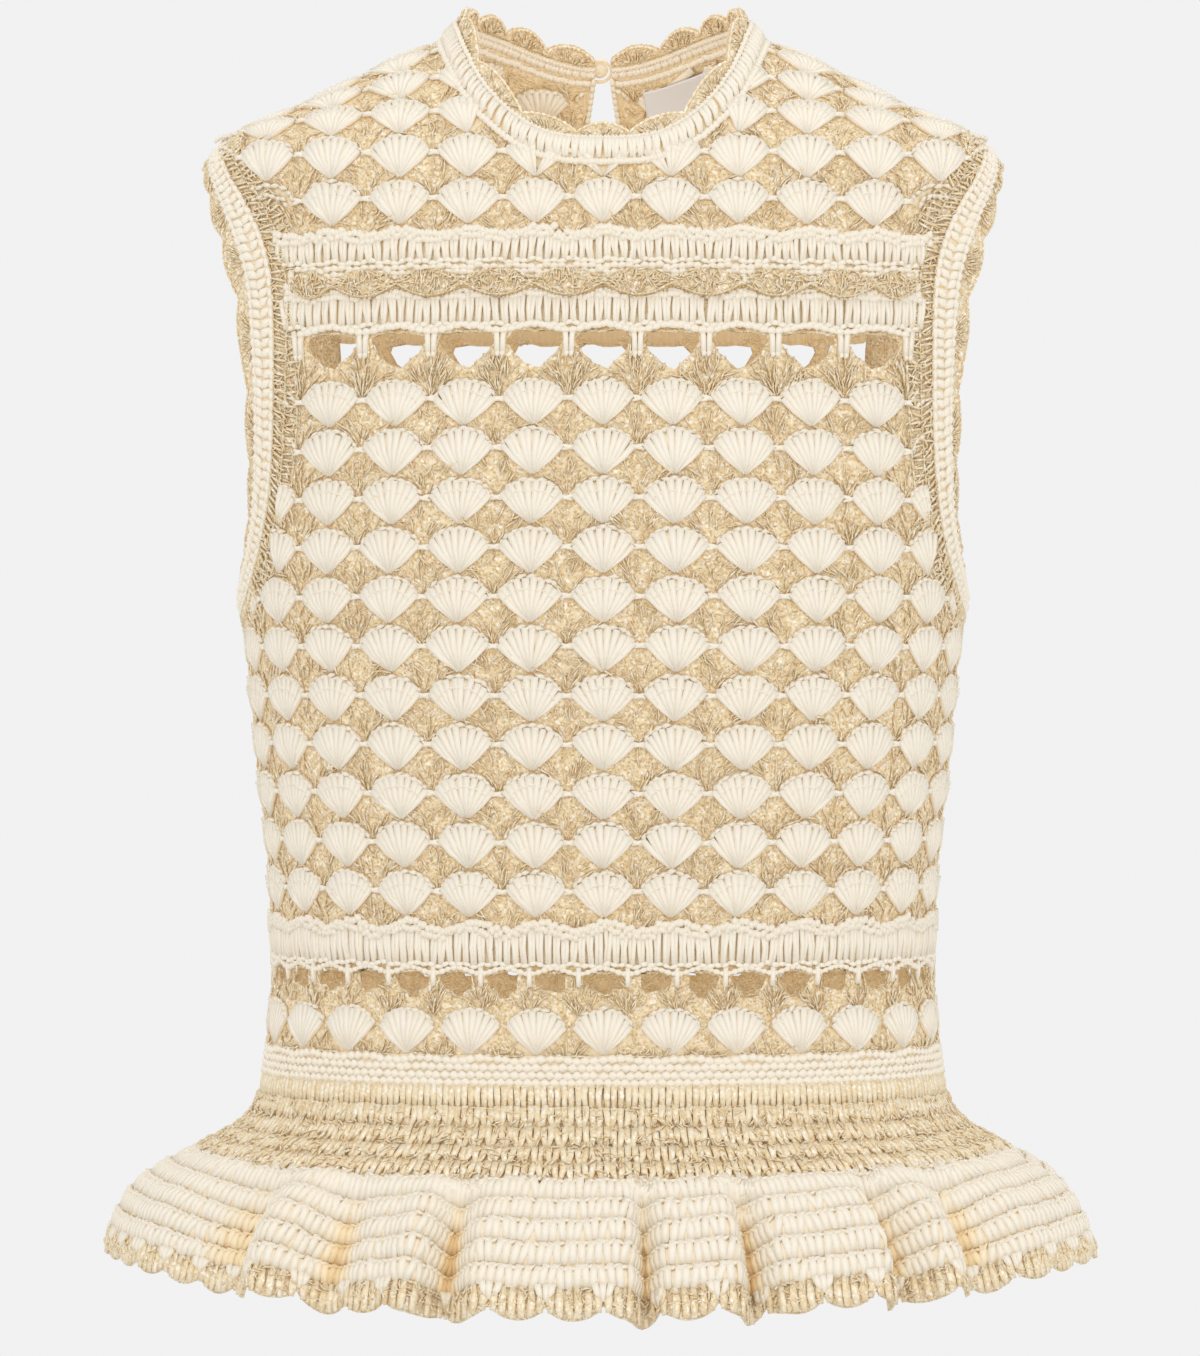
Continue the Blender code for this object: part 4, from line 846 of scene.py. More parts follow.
def panel_sheet(side, cloth, name, finish):
    """The panel's ground: a grid on its surface, with the cells in a cut-out left away.

    The grid's lines pass through the corners of the openings. A point just inside a cut-out moves back to
    its edge: its place u, v changes by the depth inside over the slope of that depth, four times.
    """
    rise = BACK_HOLE_RISE if side > 0 else 0.0
    stops = np.array((PANEL_END, WAIST_HOLE[2], WAIST_HOLE[1], WAIST_HOLE[0], CHEST_HOLE[2] + rise, CHEST_HOLE[1] + rise,
                      CHEST_HOLE[0] + rise, YOKE_LINE, YOKE_LINE + 146)) - YOKE_LINE
    spans = [np.linspace(low, high, int((high - low) / 4.2) + 2)[:-1] for low, high in zip(stops[:-1], stops[1:])]
    offsets = np.array((0.0, 0.3, 0.6, 0.86, 1.14, 1.4, 1.7))
    across = (np.arange(-FANS_PER_HALF, FANS_PER_HALF, 2)[:, None] + offsets).ravel()
    u, v = np.meshgrid(np.append(across, FANS_PER_HALF), np.concatenate(spans))
    rows, columns = u.shape

    def depth(u, v):
        return cut_depth(cloth.at(u, v)[0], side)

    inside = depth(u, v) > 0.05
    corners = ((slice(None, -1), slice(None, -1)), (slice(None, -1), slice(1, None)),
               (slice(1, None), slice(1, None)), (slice(1, None), slice(None, -1)))
    kept = ~np.logical_and.reduce([inside[corner] for corner in corners])
    used = np.zeros(u.shape, bool)
    for corner in corners:
        used[corner] |= kept
    moved = np.nonzero(inside & used)
    mu, mv = u[moved], v[moved]
    for _ in range(4):
        here = depth(mu, mv)
        du = (depth(mu + 0.02, mv) - here) / 0.02
        dv = (depth(mu, mv + 0.3) - here) / 0.3
        step = np.clip(here, -4, 4) / np.maximum((du / HALF_FAN) ** 2 + dv ** 2, 0.04)
        mu = mu - np.clip(step * du / HALF_FAN ** 2, -0.25, 0.25)
        mv = mv - np.clip(step * dv, -3.0, 3.0)
    u[moved], v[moved] = mu, mv
    points, _ = cloth.at(u, v, 0.3)
    z = points[..., 2] - rise * (points[..., 2] > -152)
    band = np.clip(np.minimum(z + 128, -86 - z) / 2.0, 0, 1) + np.clip(np.minimum(z + 391, -374 - z) / 2, 0, 1)
    band -= np.clip(np.minimum(z + 150, -128 - z), 0, 1) + np.clip(np.minimum(z + 409, -391 - z), 0, 1)
    rows_low = (v + YOKE_LINE - FIRST_FANS) / (2 * COURSE)
    rows_high = (v - COURSE) / (2 * COURSE)
    pattern = np.stack((u / 2, np.where(v > -10, rows_high, rows_low)), -1)
    faces = grid_faces(rows, columns, kept=kept)
    flat = points.reshape(-1, 3)
    faces = faces[np.linalg.norm(flat[faces[:, 0]] - flat[faces[:, 2]], axis=1) < 16]
    faces = faces[cut_depth(flat[faces].mean(1), side) < 0.7]
    used = np.unique(faces)
    lookup = np.full(len(flat), -1)
    lookup[used] = np.arange(len(used))
    piece = make_piece(name + "_cloth", flat[used], [lookup[faces]], finish,
                       uv=pattern.reshape(-1, 2)[used], marks=(("band", band.ravel()[used]),))
    return thicken(piece, SHEET_WALL)


# ---------------------------------------------------------------- trims
def shell(name, surface, u, v, lift, finish, wall, ring=False, marks=()):
    """A sheet on a surface at the places of a grid, with a thickness inwards."""
    u, v = np.broadcast_arrays(u, v)
    points, _ = surface.at(u, v, lift)
    piece = make_piece(name, points.reshape(-1, 3), [grid_faces(*u.shape, ring=ring)], finish, marks=marks)
    return thicken(piece, wall)


def flap(side, finishes):
    """Row of gold scallops over the chest, free at their lower edge, with strands in all directions."""
    tag = "front" if side < 0 else "back"
    edge = column_shares(np.array(float(FLAP_SCALLOPS)), FLAP_LINE)
    end = FLAP_SCALLOPS + 1.4
    u = np.linspace(-end, end, 24 * FLAP_SCALLOPS + 41)
    arch = np.where(abs(u) < FLAP_SCALLOPS, abs(sin(u * pi / 2)), sin((abs(u) - FLAP_SCALLOPS) / 1.4 * pi))
    x = level_line(FLAP_LINE, -side * u / FLAP_SCALLOPS * edge, side)[:, 0]
    share = np.linspace(0, 1, 7)[:, None]
    z = FLAP_FOOT - FLAP_FOOT_ARCH * arch + (FLAP_TOP - FLAP_FOOT + (FLAP_TOP_ARCH + FLAP_FOOT_ARCH) * arch) * share
    y = depth_at(x, z, side) + side * (3.2 + 1.6 * (1 - share) + 1.3 * sin(pi * share) * arch)
    surface = Surface(u, share[:, 0], np.stack((np.broadcast_to(x, z.shape), y, z), -1))
    grid_u, grid_v = np.meshgrid(np.linspace(-end, end, 12 * FLAP_SCALLOPS + 21), np.linspace(0, 1, 6))
    sheet = shell("flap_cloth_" + tag, surface, grid_u, grid_v, 0.3, finishes["gold_ground"], 1.2)
    yarn = Yarn(31 + side)
    scatter(yarn, surface, 760, (-end, end), (0.03, 0.97), HALF_FAN, 9.0, 0.9)
    lay_cord(yarn, surface, 0.03, 0.62, None, lift=0.6, span=(-end, end), steps=170, sides=3)
    # painted shadow: a cord of deeply shaded gold yarn just under the scallops' lower edge
    lay_cord(yarn, surface, -0.05, 0.9, None, lift=-1.2, span=(-end, end), steps=170, sides=3, added_shade=0.8)
    strands = yarn.make("flap_strands_" + tag, finishes["gold"], "gold_yarn")
    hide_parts("chest_flap_" + tag)


def height_on_body(x, y):
    """Height at which the body's surface passes over a point: where the section's two shares add up to 1."""
    heights = np.linspace(-75.0, 12.0, 500)
    half, front, back = section(heights)
    x, y = x[..., None], y[..., None]
    size = (abs(x) / half) ** ROUNDNESS + (abs(y) / np.where(y < 0, front, back)) ** ROUNDNESS
    k = np.clip((size < 1).sum(-1, keepdims=True), 1, len(heights) - 1)
    low, high = np.take_along_axis(size, k - 1, -1), np.take_along_axis(size, k, -1)
    share = np.clip((1 - low) / (high - low), 0, 1)
    return (heights[k - 1] + share * (heights[k] - heights[k - 1]))[..., 0]


def neck_surface(table, down=()):
    """Strip round the neck: u turns from the back over the front, v counts its rows.

    First come rows down the cloth from the neck's edge, each with its stand-off, then rows of the table:
    how far inwards and up from the edge.
    """
    gap = (KEYHOLE_NECK + 0.4) / NECK_HALF_WIDTH
    turn = np.linspace(-pi + gap, pi - gap, 241)
    base = height_on_body(*neck_place(turn, 0.0))
    rows = []
    if down:
        skirt = beyond_neck(turn, np.array([0.0] + [distance for distance, _ in down[::-1]]))[::-1]
        outward = Surface(turn, np.arange(float(len(skirt))), skirt).normals
        rows = [row + normal * lift for row, normal, (_, lift) in zip(skirt, outward, down)]
    for inward, up in table:
        rows.append(np.stack((*neck_place(turn, 0.3 + inward), base + up), -1))
    return Surface(np.linspace(0, 1, 241), np.linspace(0, 1, len(rows)), np.array(rows))


def neck(finishes):
    """Neckband of forked stitches between two lumpy rows, and gold scallops that fan out over it."""
    band = neck_surface(((-0.8, 1.6), (0.7, 5.3), (2.4, 7.4), (4.6, 8.7)), down=((3.4, 0.6), (1.5, 1.3)))
    u, v = np.meshgrid(np.linspace(0, 1, 161), np.linspace(0, 1, 7))
    sheet = shell("neck_band", band, u, v, 0.0, finishes["cream_ground"], 1.2)
    yarn = Yarn(41)
    count = 122
    middle = (np.arange(count) + 0.5) / count
    behind = middle[abs(middle - 0.5) > 0.2]
    for surface, places, low in ((band, middle, 0.0), (band.inside(1.1), behind, 0.28)):
        random = yarn.random
        shape = (len(places), 1)
        for lean in (-1, 1):
            yarn.lay(surface, places[:, None] + (lean * np.array((0.07, 0.18, 0.27)) + random.normal(0, 0.07, shape)) / count,
                     (low + 0.26, low + (1 - low) * 0.55, 0.82), (0.7, 1.3, 0.9), (1.0, 1.25, 1.15), (0.8, 1.0, 0.8))
            yarn.lump(surface, places + lean * 0.25 / count, low + 0.12 + random.normal(0, 0.014, len(places)), 0.36 / count,
                      lean * 0.02, 1.75, 1.3, 0.9)
            yarn.lump(surface, places + lean * 0.25 / count, 0.92 + random.normal(0, 0.01, len(places)), 0.34 / count,
                      0.02 * lean, 1.35, 1.2, 0.8)
    posts = yarn.make("neck_band_posts", finishes["cream"], "cream_cotton")
    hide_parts("neckband")

    edge = neck_surface(((5.0, 8.6), (7.1, 12.0), (9.2, 15.6)))
    fine = np.linspace(0, 1, NECK_SCALLOPS * 12 + 1)
    u, v = np.meshgrid(fine, np.linspace(0, 1, 5))
    sheet = shell("neck_scallop_edge", edge, u, v * neck_reach(u), 0.4, finishes["gold_ground"], 1.2)
    yarn = Yarn(43)
    centres = (np.arange(NECK_SCALLOPS) + 0.5) / NECK_SCALLOPS
    for surface in (edge, edge.inside(0.8)):
        scallop_strands(yarn, surface, centres, 0.5 / NECK_SCALLOPS, 0.0, 1.0, 0.30, 24)
        lay_cord(yarn, surface, lambda u: neck_reach(u) * 0.95, 0.75, None, lift=0.45, span=(0.0, 1.0),
                 steps=NECK_SCALLOPS * 10)
    strands = yarn.make("neck_scallop_strands", finishes["gold"], "gold_yarn")
    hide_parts("neck_scallops")


def scallop_strands(yarn, surface, centres, half, foot, tall, notch, strands):
    """Strands that spread from the middle of each scallop's foot to its round edge."""
    random = yarn.random
    shape = (len(centres), strands)
    q = random.uniform(-1, 1, shape)[..., None]
    start = random.uniform(0, 0.6, shape)[..., None]
    share = start + random.uniform(0.3, 0.4, shape)[..., None] * np.linspace(0, 1, 3)
    edge = notch + (1 - notch) * cos(q * pi / 2) ** 0.7
    u = centres[:, None, None] + half * 0.96 * q * (0.35 + 0.65 * share)
    v = foot + (tall - foot) * (0.04 + share * edge * 0.86)
    lift = 0.5 + random.uniform(0.0, 0.8, shape)[..., None] + np.array((-0.2, 0.2, -0.2))
    flat = (-1, 3)
    thick = random.uniform(0.38, 0.58, (u.size // 3, 1)) * (0.7, 1, 0.7)
    yarn.lay(surface, u.reshape(flat), v.reshape(flat), lift.reshape(flat), thick, thick, 3)


def armhole_surface(side):
    """Trims of one armhole: u goes once round from the top, v from the panel's edge (0) to the edge (1)."""
    turn = np.linspace(0, 2 * pi, 289)

    def oval(top, bottom, half_depth, shrink):
        depth = -(half_depth - shrink) * powered(sin(turn), 2 / ARMHOLE_SQUARENESS)
        rise = powered(cos(turn), 2 / ARMHOLE_SQUARENESS)
        return depth, (top + bottom) / 2 + ((top - bottom) / 2 - shrink) * rise

    depth0, height0 = oval(ARMHOLE_TOP, ARMHOLE_BOTTOM, ARMHOLE_HALF_DEPTH, 1.7)
    depth1, height1 = oval(EDGE_TOP, EDGE_BOTTOM, EDGE_HALF_DEPTH, 0.0)
    half, front, back = section(height0)
    deep = np.where(depth0 < 0, front, back)
    x0 = half * (1 - (abs(depth0) / deep) ** ROUNDNESS) ** (1 / ROUNDNESS)
    x1 = smooth(height1, ARMHOLE_EDGE[:, 0], ARMHOLE_EDGE[:, 1])
    start, end = np.stack((x0, depth0, height0), -1), np.stack((x1, depth1, height1), -1)
    share = np.linspace(-0.12, 1, 15)[:, None, None]
    points = start + (end - start) * share + np.array((TRIM_CROWN, 0, 0)) * sin(pi * np.maximum(share, 0))
    around = way_along(*start.T)
    if side < 0:
        points = (points * (-1, 1, 1))[:, ::-1]
        around = around[-1] - around[::-1]
    made = Surface(around / around[-1], share[:, 0, 0], points, ring=True)
    if (made.normals[0, 0, 2]) < 0:
        made.normals = -made.normals
        made.flipped = True
    return made


def armhole(side, finishes):
    """Armhole trims: a gold mesh, a twisted cream band and gold scallops."""
    tag = "right" if side > 0 else "left"
    surface = armhole_surface(side)
    u = np.linspace(0, 1, 121)[:-1]
    for part, low, high, lift, slot in (("gold", -0.1, GOLD_SHARE + 0.02, 0.5, "gold_yarn"),
                                        ("cream", GOLD_SHARE - 0.02, CREAM_SHARE + 0.02, 0.8, "cream_cotton")):
        grid_u, grid_v = np.meshgrid(u, np.linspace(low, high, 5))
        ring_shell("armhole_%s_%s_ground" % (part, tag), surface, grid_u, grid_v, lift,
                                  finishes[part + "_ground"], 1.2)
    grid_u, grid_v = np.meshgrid(np.linspace(0, 1, ARMHOLE_SCALLOPS * 10 + 1)[:-1], np.linspace(0, 1, 5))
    reach = CREAM_SHARE + (armhole_reach(surface, grid_u) - CREAM_SHARE) * grid_v
    ring_shell("armhole_scallops_%s_ground" % tag, surface, grid_u, reach, 0.4,
                                    finishes["gold_ground"], 1.2)

    gold = Yarn(51 + side)
    count = 190
    u0 = (np.arange(count) / count)[:, None]
    for low, high in ((-0.06, 0.15), (0.14, 0.33)):
        slant = side * gold.random.normal(0.5, 0.4, (count, 1)) * (1 if low < 0 else -1)
        gold.lay(surface, u0 + (gold.random.normal(0, 0.15, (count, 1)) + slant * np.array((-0.5, 0.0, 0.5))) / count,
                 np.array((low, (low + high) / 2, high)), (0.9, 1.5, 0.9), (0.75, 0.95, 0.75), (0.6, 0.8, 0.6), 3)
    for v in (-0.06, 0.145, 0.325):
        lay_cord(gold, surface, v, 0.9, None, lift=1.0, span=(0.0, 1.0), steps=140, sides=3)
    scatter(gold, surface, 800, (0.0, 1.0), (-0.06, 0.33), 600.0, 32.0, 1.6)
    mesh = gold.make("armhole_gold_%s_strands" % tag, finishes["gold"], "gold_yarn")

    cream = Yarn(61 + side)
    count = 132
    middle = (np.arange(count) + 0.5) / count
    wide = CREAM_SHARE - GOLD_SHARE
    random = cream.random
    for row, slope in ((0.30, 1), (0.70, -1)):
        cream.lump(surface, middle + random.normal(0, 0.0004, count), GOLD_SHARE + wide * (row + random.normal(0, 0.03, count)),
                   side * slope * 0.45 / count, 0.072, 2.1, 1.6, 1.5 + random.normal(0, 0.15, count), 5)
    for v in (GOLD_SHARE + 0.01, CREAM_SHARE - 0.01):
        lay_cord(cream, surface, v, 1.4, None, lift=1.1, span=(0.0, 1.0), steps=count)
    twist = cream.make("armhole_cream_%s_twist" % tag, finishes["cream"], "cream_cotton")

    yarn = Yarn(71 + side)
    places = np.interp((np.arange(ARMHOLE_SCALLOPS) + 0.5) / ARMHOLE_SCALLOPS, np.linspace(0, 1, len(surface.u)),
                       surface.u)
    for face, strands in ((surface, 30), (surface.inside(0.8), 14)):
        scallop_strands(yarn, face, places, 0.5 / ARMHOLE_SCALLOPS, CREAM_SHARE, 1.0,
                        (NOTCH_SHARE - CREAM_SHARE) / (1 - CREAM_SHARE), strands)
        lay_cord(yarn, face, lambda u: CREAM_SHARE + (armhole_reach(surface, u) - CREAM_SHARE) * 0.95, 0.7, None, lift=0.5,
                 span=(0.0, 1.0), steps=ARMHOLE_SCALLOPS * 10, sides=3)
    strands = yarn.make("armhole_scallop_%s_strands" % tag, finishes["gold"], "gold_yarn")
    for part, piece, flat in (("gold", mesh, (0.600, 0.0135)), ("cream", twist, (0.545, 0.0115)),
                              ("scallops", strands, (0.500, 0.0100))):
        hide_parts("armhole_%s_%s" % (part, tag))


def ring_shell(name, surface, u, v, lift, finish, wall, marks=()):
    """A closed ring of sheet; its faces turn outwards whichever way the surface runs."""
    points, _ = surface.at(u, v, lift)
    faces = grid_faces(*points.shape[:2], ring=True)
    if getattr(surface, "flipped", False):
        faces = faces[:, ::-1]
    piece = make_piece(name, points.reshape(-1, 3), [faces], finish, marks=marks)
    return thicken(piece, wall)


def scatter(yarn, surface, count, u_span, v_span, u_length, v_length, lift):
    """Short strands in all directions over a stretch of a surface; lengths turn millimetres into shares."""
    random = yarn.random
    u0, v0 = random.uniform(*u_span, count)[:, None], random.uniform(*v_span, count)[:, None]
    way = random.uniform(0, 2 * pi, count)[:, None]
    reach = np.array((-1, 0, 1)) * random.uniform(1.2, 2.6, count)[:, None]
    curl = np.array((0, 1, 0)) * random.normal(0, 0.5, count)[:, None]
    thick = random.uniform(0.42, 0.66, count)[:, None] * (0.75, 1, 0.75)
    yarn.lay(surface, u0 + (cos(way) * reach - sin(way) * curl) / u_length,
             np.clip(v0 + (sin(way) * reach + cos(way) * curl) / v_length, *v_span),
             lift + np.array((-0.4, 0.1, -0.4)) + random.uniform(-0.3, 0.3, count)[:, None], thick, thick, 3)


def fastening(finishes):
    """Domed button and its yarn loop, in the places of their solids: a lens with a rolled rim, and a ring."""
    for node, name in (("neck_button", "button_of_yarn"), ("button_loop", "loop_of_yarn")):
        low, high = (np.array(corner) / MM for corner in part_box(node))
        centre = (low + high) / 2
        lean = radians(33.0)
        across, up = np.array((1.0, 0, 0)), np.array((0, -sin(lean), cos(lean)))
        out = np.array((0, cos(lean), sin(lean)))
        yarn = Yarn(81)
        if node == "neck_button":
            for radius, thick, lift, count in ((3.1, 1.0, 0.2, 14), (1.7, 1.0, 0.9, 8), (0.4, 1.1, 1.2, 3)):
                wind(yarn, centre, across, up, out, radius, thick, lift, count)
            points, faces = lens(centre, across, up, out, 3.6, 1.7)
            yarn.add(points, [faces + yarn.count], np.full(len(points), 0.5), np.full(len(points), 0.5))
        else:
            wind(yarn, centre, across, up, out, 5.3, 0.85, 0.0, 22)
        piece = yarn.make(name, finishes["cream"], "cream_cotton")
        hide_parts(node)


def wind(yarn, centre, across, up, out, radius, thick, lift, count):
    """A round of short lumps, each from one angle to the next on a circle."""
    angle = (np.arange(count)[:, None] + np.array((-0.2, 0.5, 1.2))) * 2 * pi / count
    centres = centre + (cos(angle)[..., None] * across + sin(angle)[..., None] * up) * radius + out * lift
    yarn.tube(centres, np.broadcast_to(out, centres.shape), thick * np.broadcast_to((0.75, 1, 0.75), angle.shape),
              thick * np.broadcast_to((0.75, 1, 0.75), angle.shape), 5)


def lens(centre, across, up, out, radius, half):
    """A closed lens: the ring at polar angle a has radius sin a, and stands off by cos a."""
    polar, turn = np.meshgrid(np.linspace(0.05, pi - 0.05, 9), np.arange(16) * 2 * pi / 16, indexing="ij")
    points = (centre + (cos(turn)[..., None] * across + sin(turn)[..., None] * up) * (sin(polar) * radius)[..., None]
              + out * (cos(polar) * half)[..., None])
    faces = grid_faces(9, 16, ring=True)[:, ::-1]
    return points.reshape(-1, 3), faces


def label(finishes):
    """Bare satin label on the inside of the back, along the neck's edge, a little bowed, its ends sewn down."""
    turn = pi - np.arcsin(np.linspace(17.0, 57.0, 41) / NECK_HALF_WIDTH)
    points = beyond_neck(turn, np.linspace(27.0, 3.0, 25))
    u, v = np.meshgrid(np.linspace(0, 1, 41), np.linspace(0, 1, 25))
    surface = Surface(u[0], v[:, 0], points)
    lift = 3.5 + 0.45 * np.clip(np.minimum(u, 1 - u) * 25, 0, 1) + 0.25 * sin(pi * u) * sin(pi * v)
    points, _ = surface.at(u, v, lift)
    piece = make_piece("satin_label", points.reshape(-1, 3), [grid_faces(25, 41)], finishes["satin"])
    thicken(piece, 0.5)
    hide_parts("blank_label")


# ---------------------------------------------------------------- waist and peplum
def body_ring(heights, count=721):
    """Ring surface round the whole body: u is the share of the way round from the centre front to +X."""
    turn = np.linspace(0, 2 * pi, count)
    rows = []
    for height in heights:
        half, front, back = section(height)
        x = half * powered(sin(turn), 2 / ROUNDNESS)
        y = -np.where(cos(turn) > 0, front, back) * powered(cos(turn), 2 / ROUNDNESS)
        way = way_along(x, y)
        at = np.linspace(0, way[-1], count)
        rows.append(np.stack((np.interp(at, way, x), np.interp(at, way, y), np.full(count, height)), -1))
    return Surface(np.linspace(0, 1, count), np.asarray(heights), np.array(rows), ring=True)


def waistband(finishes):
    """Cream band of single stitches: four rows of lumps, each half a stitch on from the row below."""
    surface = body_ring(np.linspace(-440.4, -428.0, 5))
    u, v = np.meshgrid(np.linspace(0, 1, 225)[:-1], np.linspace(-440.2, -428.2, 5))
    sheet = ring_shell("waistband_cloth", surface, u, v, 0.6, finishes["cream_ground"], 1.4)
    yarn = Yarn(91)
    random = yarn.random
    count = 212
    for row, height in enumerate((-429.9, -433.1, -436.3, -439.3)):
        middle = (np.arange(count) + 0.5 * (row % 2)) / count
        wave = 0.6 * sin(middle * 28 * 2 * pi) if row == 0 else 0.0
        yarn.lump(surface, middle + random.normal(0, 0.00025, count), height + wave + random.normal(0, 0.15, count),
                  0.62 / count, random.normal(-0.35, 0.25, count), 2.15, 1.2, 1.25, 5)
    stitches = yarn.make("waistband_stitches", finishes["cream"], "cream_cotton")
    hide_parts("waistband")


def peplum_point(turn, distance):
    """Peplum's plain surface: turn in radians from the centre front, distance down the cloth."""
    half, side_height, depth, front_height = (smooth(distance, PEPLUM[:, 0], PEPLUM[:, k]) for k in (1, 2, 3, 4))
    power = 2 / (ROUNDNESS + (2.04 - ROUNDNESS) * np.clip(distance / 60.0, 0, 1))
    sine, cosine = sin(turn), cos(turn)
    deep = np.where(cosine > 0, depth, depth * (0.96 + (BACK_SHARE - 0.96) * np.clip(distance / 60, 0, 1)))
    x = half * powered(sine, power)
    y = -deep * powered(cosine, power)
    z = side_height + (front_height - side_height) * cosine ** 2
    return np.stack(np.broadcast_arrays(x, y, z), -1)


def fold_height(turn, distance):
    """How far the ruffle's cloth stands off: cosine easing between the table's crests and valleys."""
    degrees = np.degrees(turn) % 360
    knots = np.concatenate((FOLDS[-1:, 0] - 360, FOLDS[:, 0], FOLDS[:1, 0] + 360))
    heights = np.concatenate((FOLDS[-1:, 1], FOLDS[:, 1], FOLDS[:1, 1]))
    k = np.clip(np.searchsorted(knots, degrees) - 1, 0, len(knots) - 2)
    eased = (1 - cos(pi * (degrees - knots[k]) / (knots[k + 1] - knots[k]))) / 2
    growth = np.clip((distance - YOKE_END) / FOLD_FULL, 0, 1)
    return (heights[k] + (heights[k + 1] - heights[k]) * eased) * growth ** 0.7


def peplum_surface(first, last, rows, folded):
    """Part of the peplum: u is the share of the way round it, v is minus the distance down.

    The way round is measured at the height that folded gives, in millimetres down.
    """
    turn = np.linspace(0, 2 * pi, 1441)
    distance = np.linspace(last, first, rows)[:, None]
    plain = peplum_point(turn[None], distance)
    normals = Surface(turn, -distance[:, 0], plain, ring=True).normals
    points = plain + normals * fold_height(turn[None], distance)[..., None]
    middle = points[np.argmin(abs(distance[:, 0] - folded))]
    way = way_along(*middle.T)
    surface = Surface(way / way[-1], -distance[:, 0], points, ring=True)
    surface.turn = turn
    surface.length = way[-1]
    return surface


def peplum(finishes):
    """The gold mesh yoke, the cream ruffle in rows of puffy stitches, and the gold scallops of the hem."""
    peplum_yoke(peplum_surface(-1.5, YOKE_END + 3.0, 34, 24.0), finishes)
    surface = peplum_surface(YOKE_END - 3.0, HEM_TIP + 3.0, 42, 76.0)
    ruffle(surface, finishes)
    hem(surface, finishes)


def peplum_yoke(surface, finishes):
    """Gold rows over a golden ground: fine upright ribs first, then forked stitches with small gaps at their feet."""
    u, v = np.meshgrid(np.linspace(0, 1, 201)[:-1], np.linspace(-YOKE_END - 0.4, 0.6, 8))
    sheet = ring_shell("peplum_yoke_ground", surface, u, v, 0.1, finishes["dark_ground"], 1.2)
    yarn = Yarn(101)
    random = yarn.random
    rows, count = 5, 144
    tall = (YOKE_END + 0.4) / rows
    for row in range(rows):
        top = 0.2 - row * tall
        u0 = ((np.arange(count) + 0.5 * (row % 2)) / count)[:, None]
        for lean in (-1, 1):
            fork = np.array((0.25, 0.25, 0.25) if row == 0 else (0.12, 0.26, 0.28))
            u = u0 + (lean * fork + random.normal(0, 0.035, (count, 3))) / count
            v = top - tall * np.array((1.0, 0.5, 0.0)) + random.normal(0, 0.5 * (row > 0), (count, 1))
            yarn.lay(surface, u, v, (0.6, 1.2, 1.0), (1.0, 1.5, 1.55), (0.7, 0.85, 0.8), 4)
        if row < 2:
            lay_cord(yarn, surface, top - 0.7, 1.3, None, lift=1.2, span=(0.0, 1.0), steps=2 * count, sides=3)
    scatter(yarn, surface, 2200, (0.0, 1.0), (-YOKE_END - 0.2, -tall), surface.length, 1.0, 2.2)
    mesh = yarn.make("peplum_yoke_mesh", finishes["gold"], "gold_yarn")
    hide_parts("peplum_yoke")


def ruffle(surface, finishes):
    """Rows of puffy stitches: the cloth is a half round in each row, and leaning posts with looped heads lie on it.

    The deeper a fold's valley is, the more painted shade its cotton gets.
    """
    columns, rows = 360, RUFFLE_ROWS * 3 + 1
    u, way = np.meshgrid(np.arange(columns) / columns, np.linspace(RUFFLE_ROWS, 0, rows))
    within = way - np.clip(np.ceil(way) - 1, 0, RUFFLE_ROWS - 1)
    round_row = np.sqrt(np.clip(1 - (2 * within - 1) ** 2, 0, 1))
    distance = YOKE_END + (RUFFLE_END - YOKE_END) * way / RUFFLE_ROWS
    points, _ = surface.at(u, -distance, 0.1 + 1.5 * round_row)
    # painted shade in the creases between rows and in the folds' valleys
    sunk = 0.9 - 0.5 * round_row + valley(surface, u, distance)
    piece = make_piece("ruffle_cloth", points.reshape(-1, 3), [grid_faces(rows, columns, ring=True)],
                       finishes["puffy"], marks=(("sunk", sunk.ravel()),))
    thicken(piece, 2.0)
    yarn = Yarn(121)
    random = yarn.random
    count, tall = 380, (RUFFLE_END - YOKE_END) / RUFFLE_ROWS
    share = np.array((0.0, 0.5, 1.0))
    for row in range(RUFFLE_ROWS):
        middle = ((np.arange(count) + 0.5 * (row % 2) + random.normal(0, 0.08, count)) / count)[:, None]
        foot = -(YOKE_END + tall * (row + 1)) + 0.3 + random.normal(0, 0.25, (count, 1))
        jag = 3.4 * random.random((count, 1)) ** 2 if row == 0 else 0.0
        lean = random.normal(0.05, 0.2, (count, 1)) / count
        # painted shade on the stitches in the folds' valleys
        added_shade = valley(surface, middle[:, 0], -foot[:, 0] - tall / 2)
        yarn.lay(surface, middle + lean * (share - 0.5) * 2, foot + (tall * 0.95 + jag) * share,
                 (0.5, 1.6, 1.2), (1.55, 1.9, 1.6), (0.65, 0.70, 0.70), 4, added_shade=added_shade)
        yarn.lump(surface, middle + 0.5 / count, foot + tall * 0.84 + jag * 0.6, 0.55 / count,
                  random.normal(0, 0.6, (count, 1)), 1.3, 0.9, 1.9, 3, added_shade=added_shade)
    stitches = yarn.make("ruffle_stitches", finishes["cream"], "cream_cotton")
    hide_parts("ruffle")


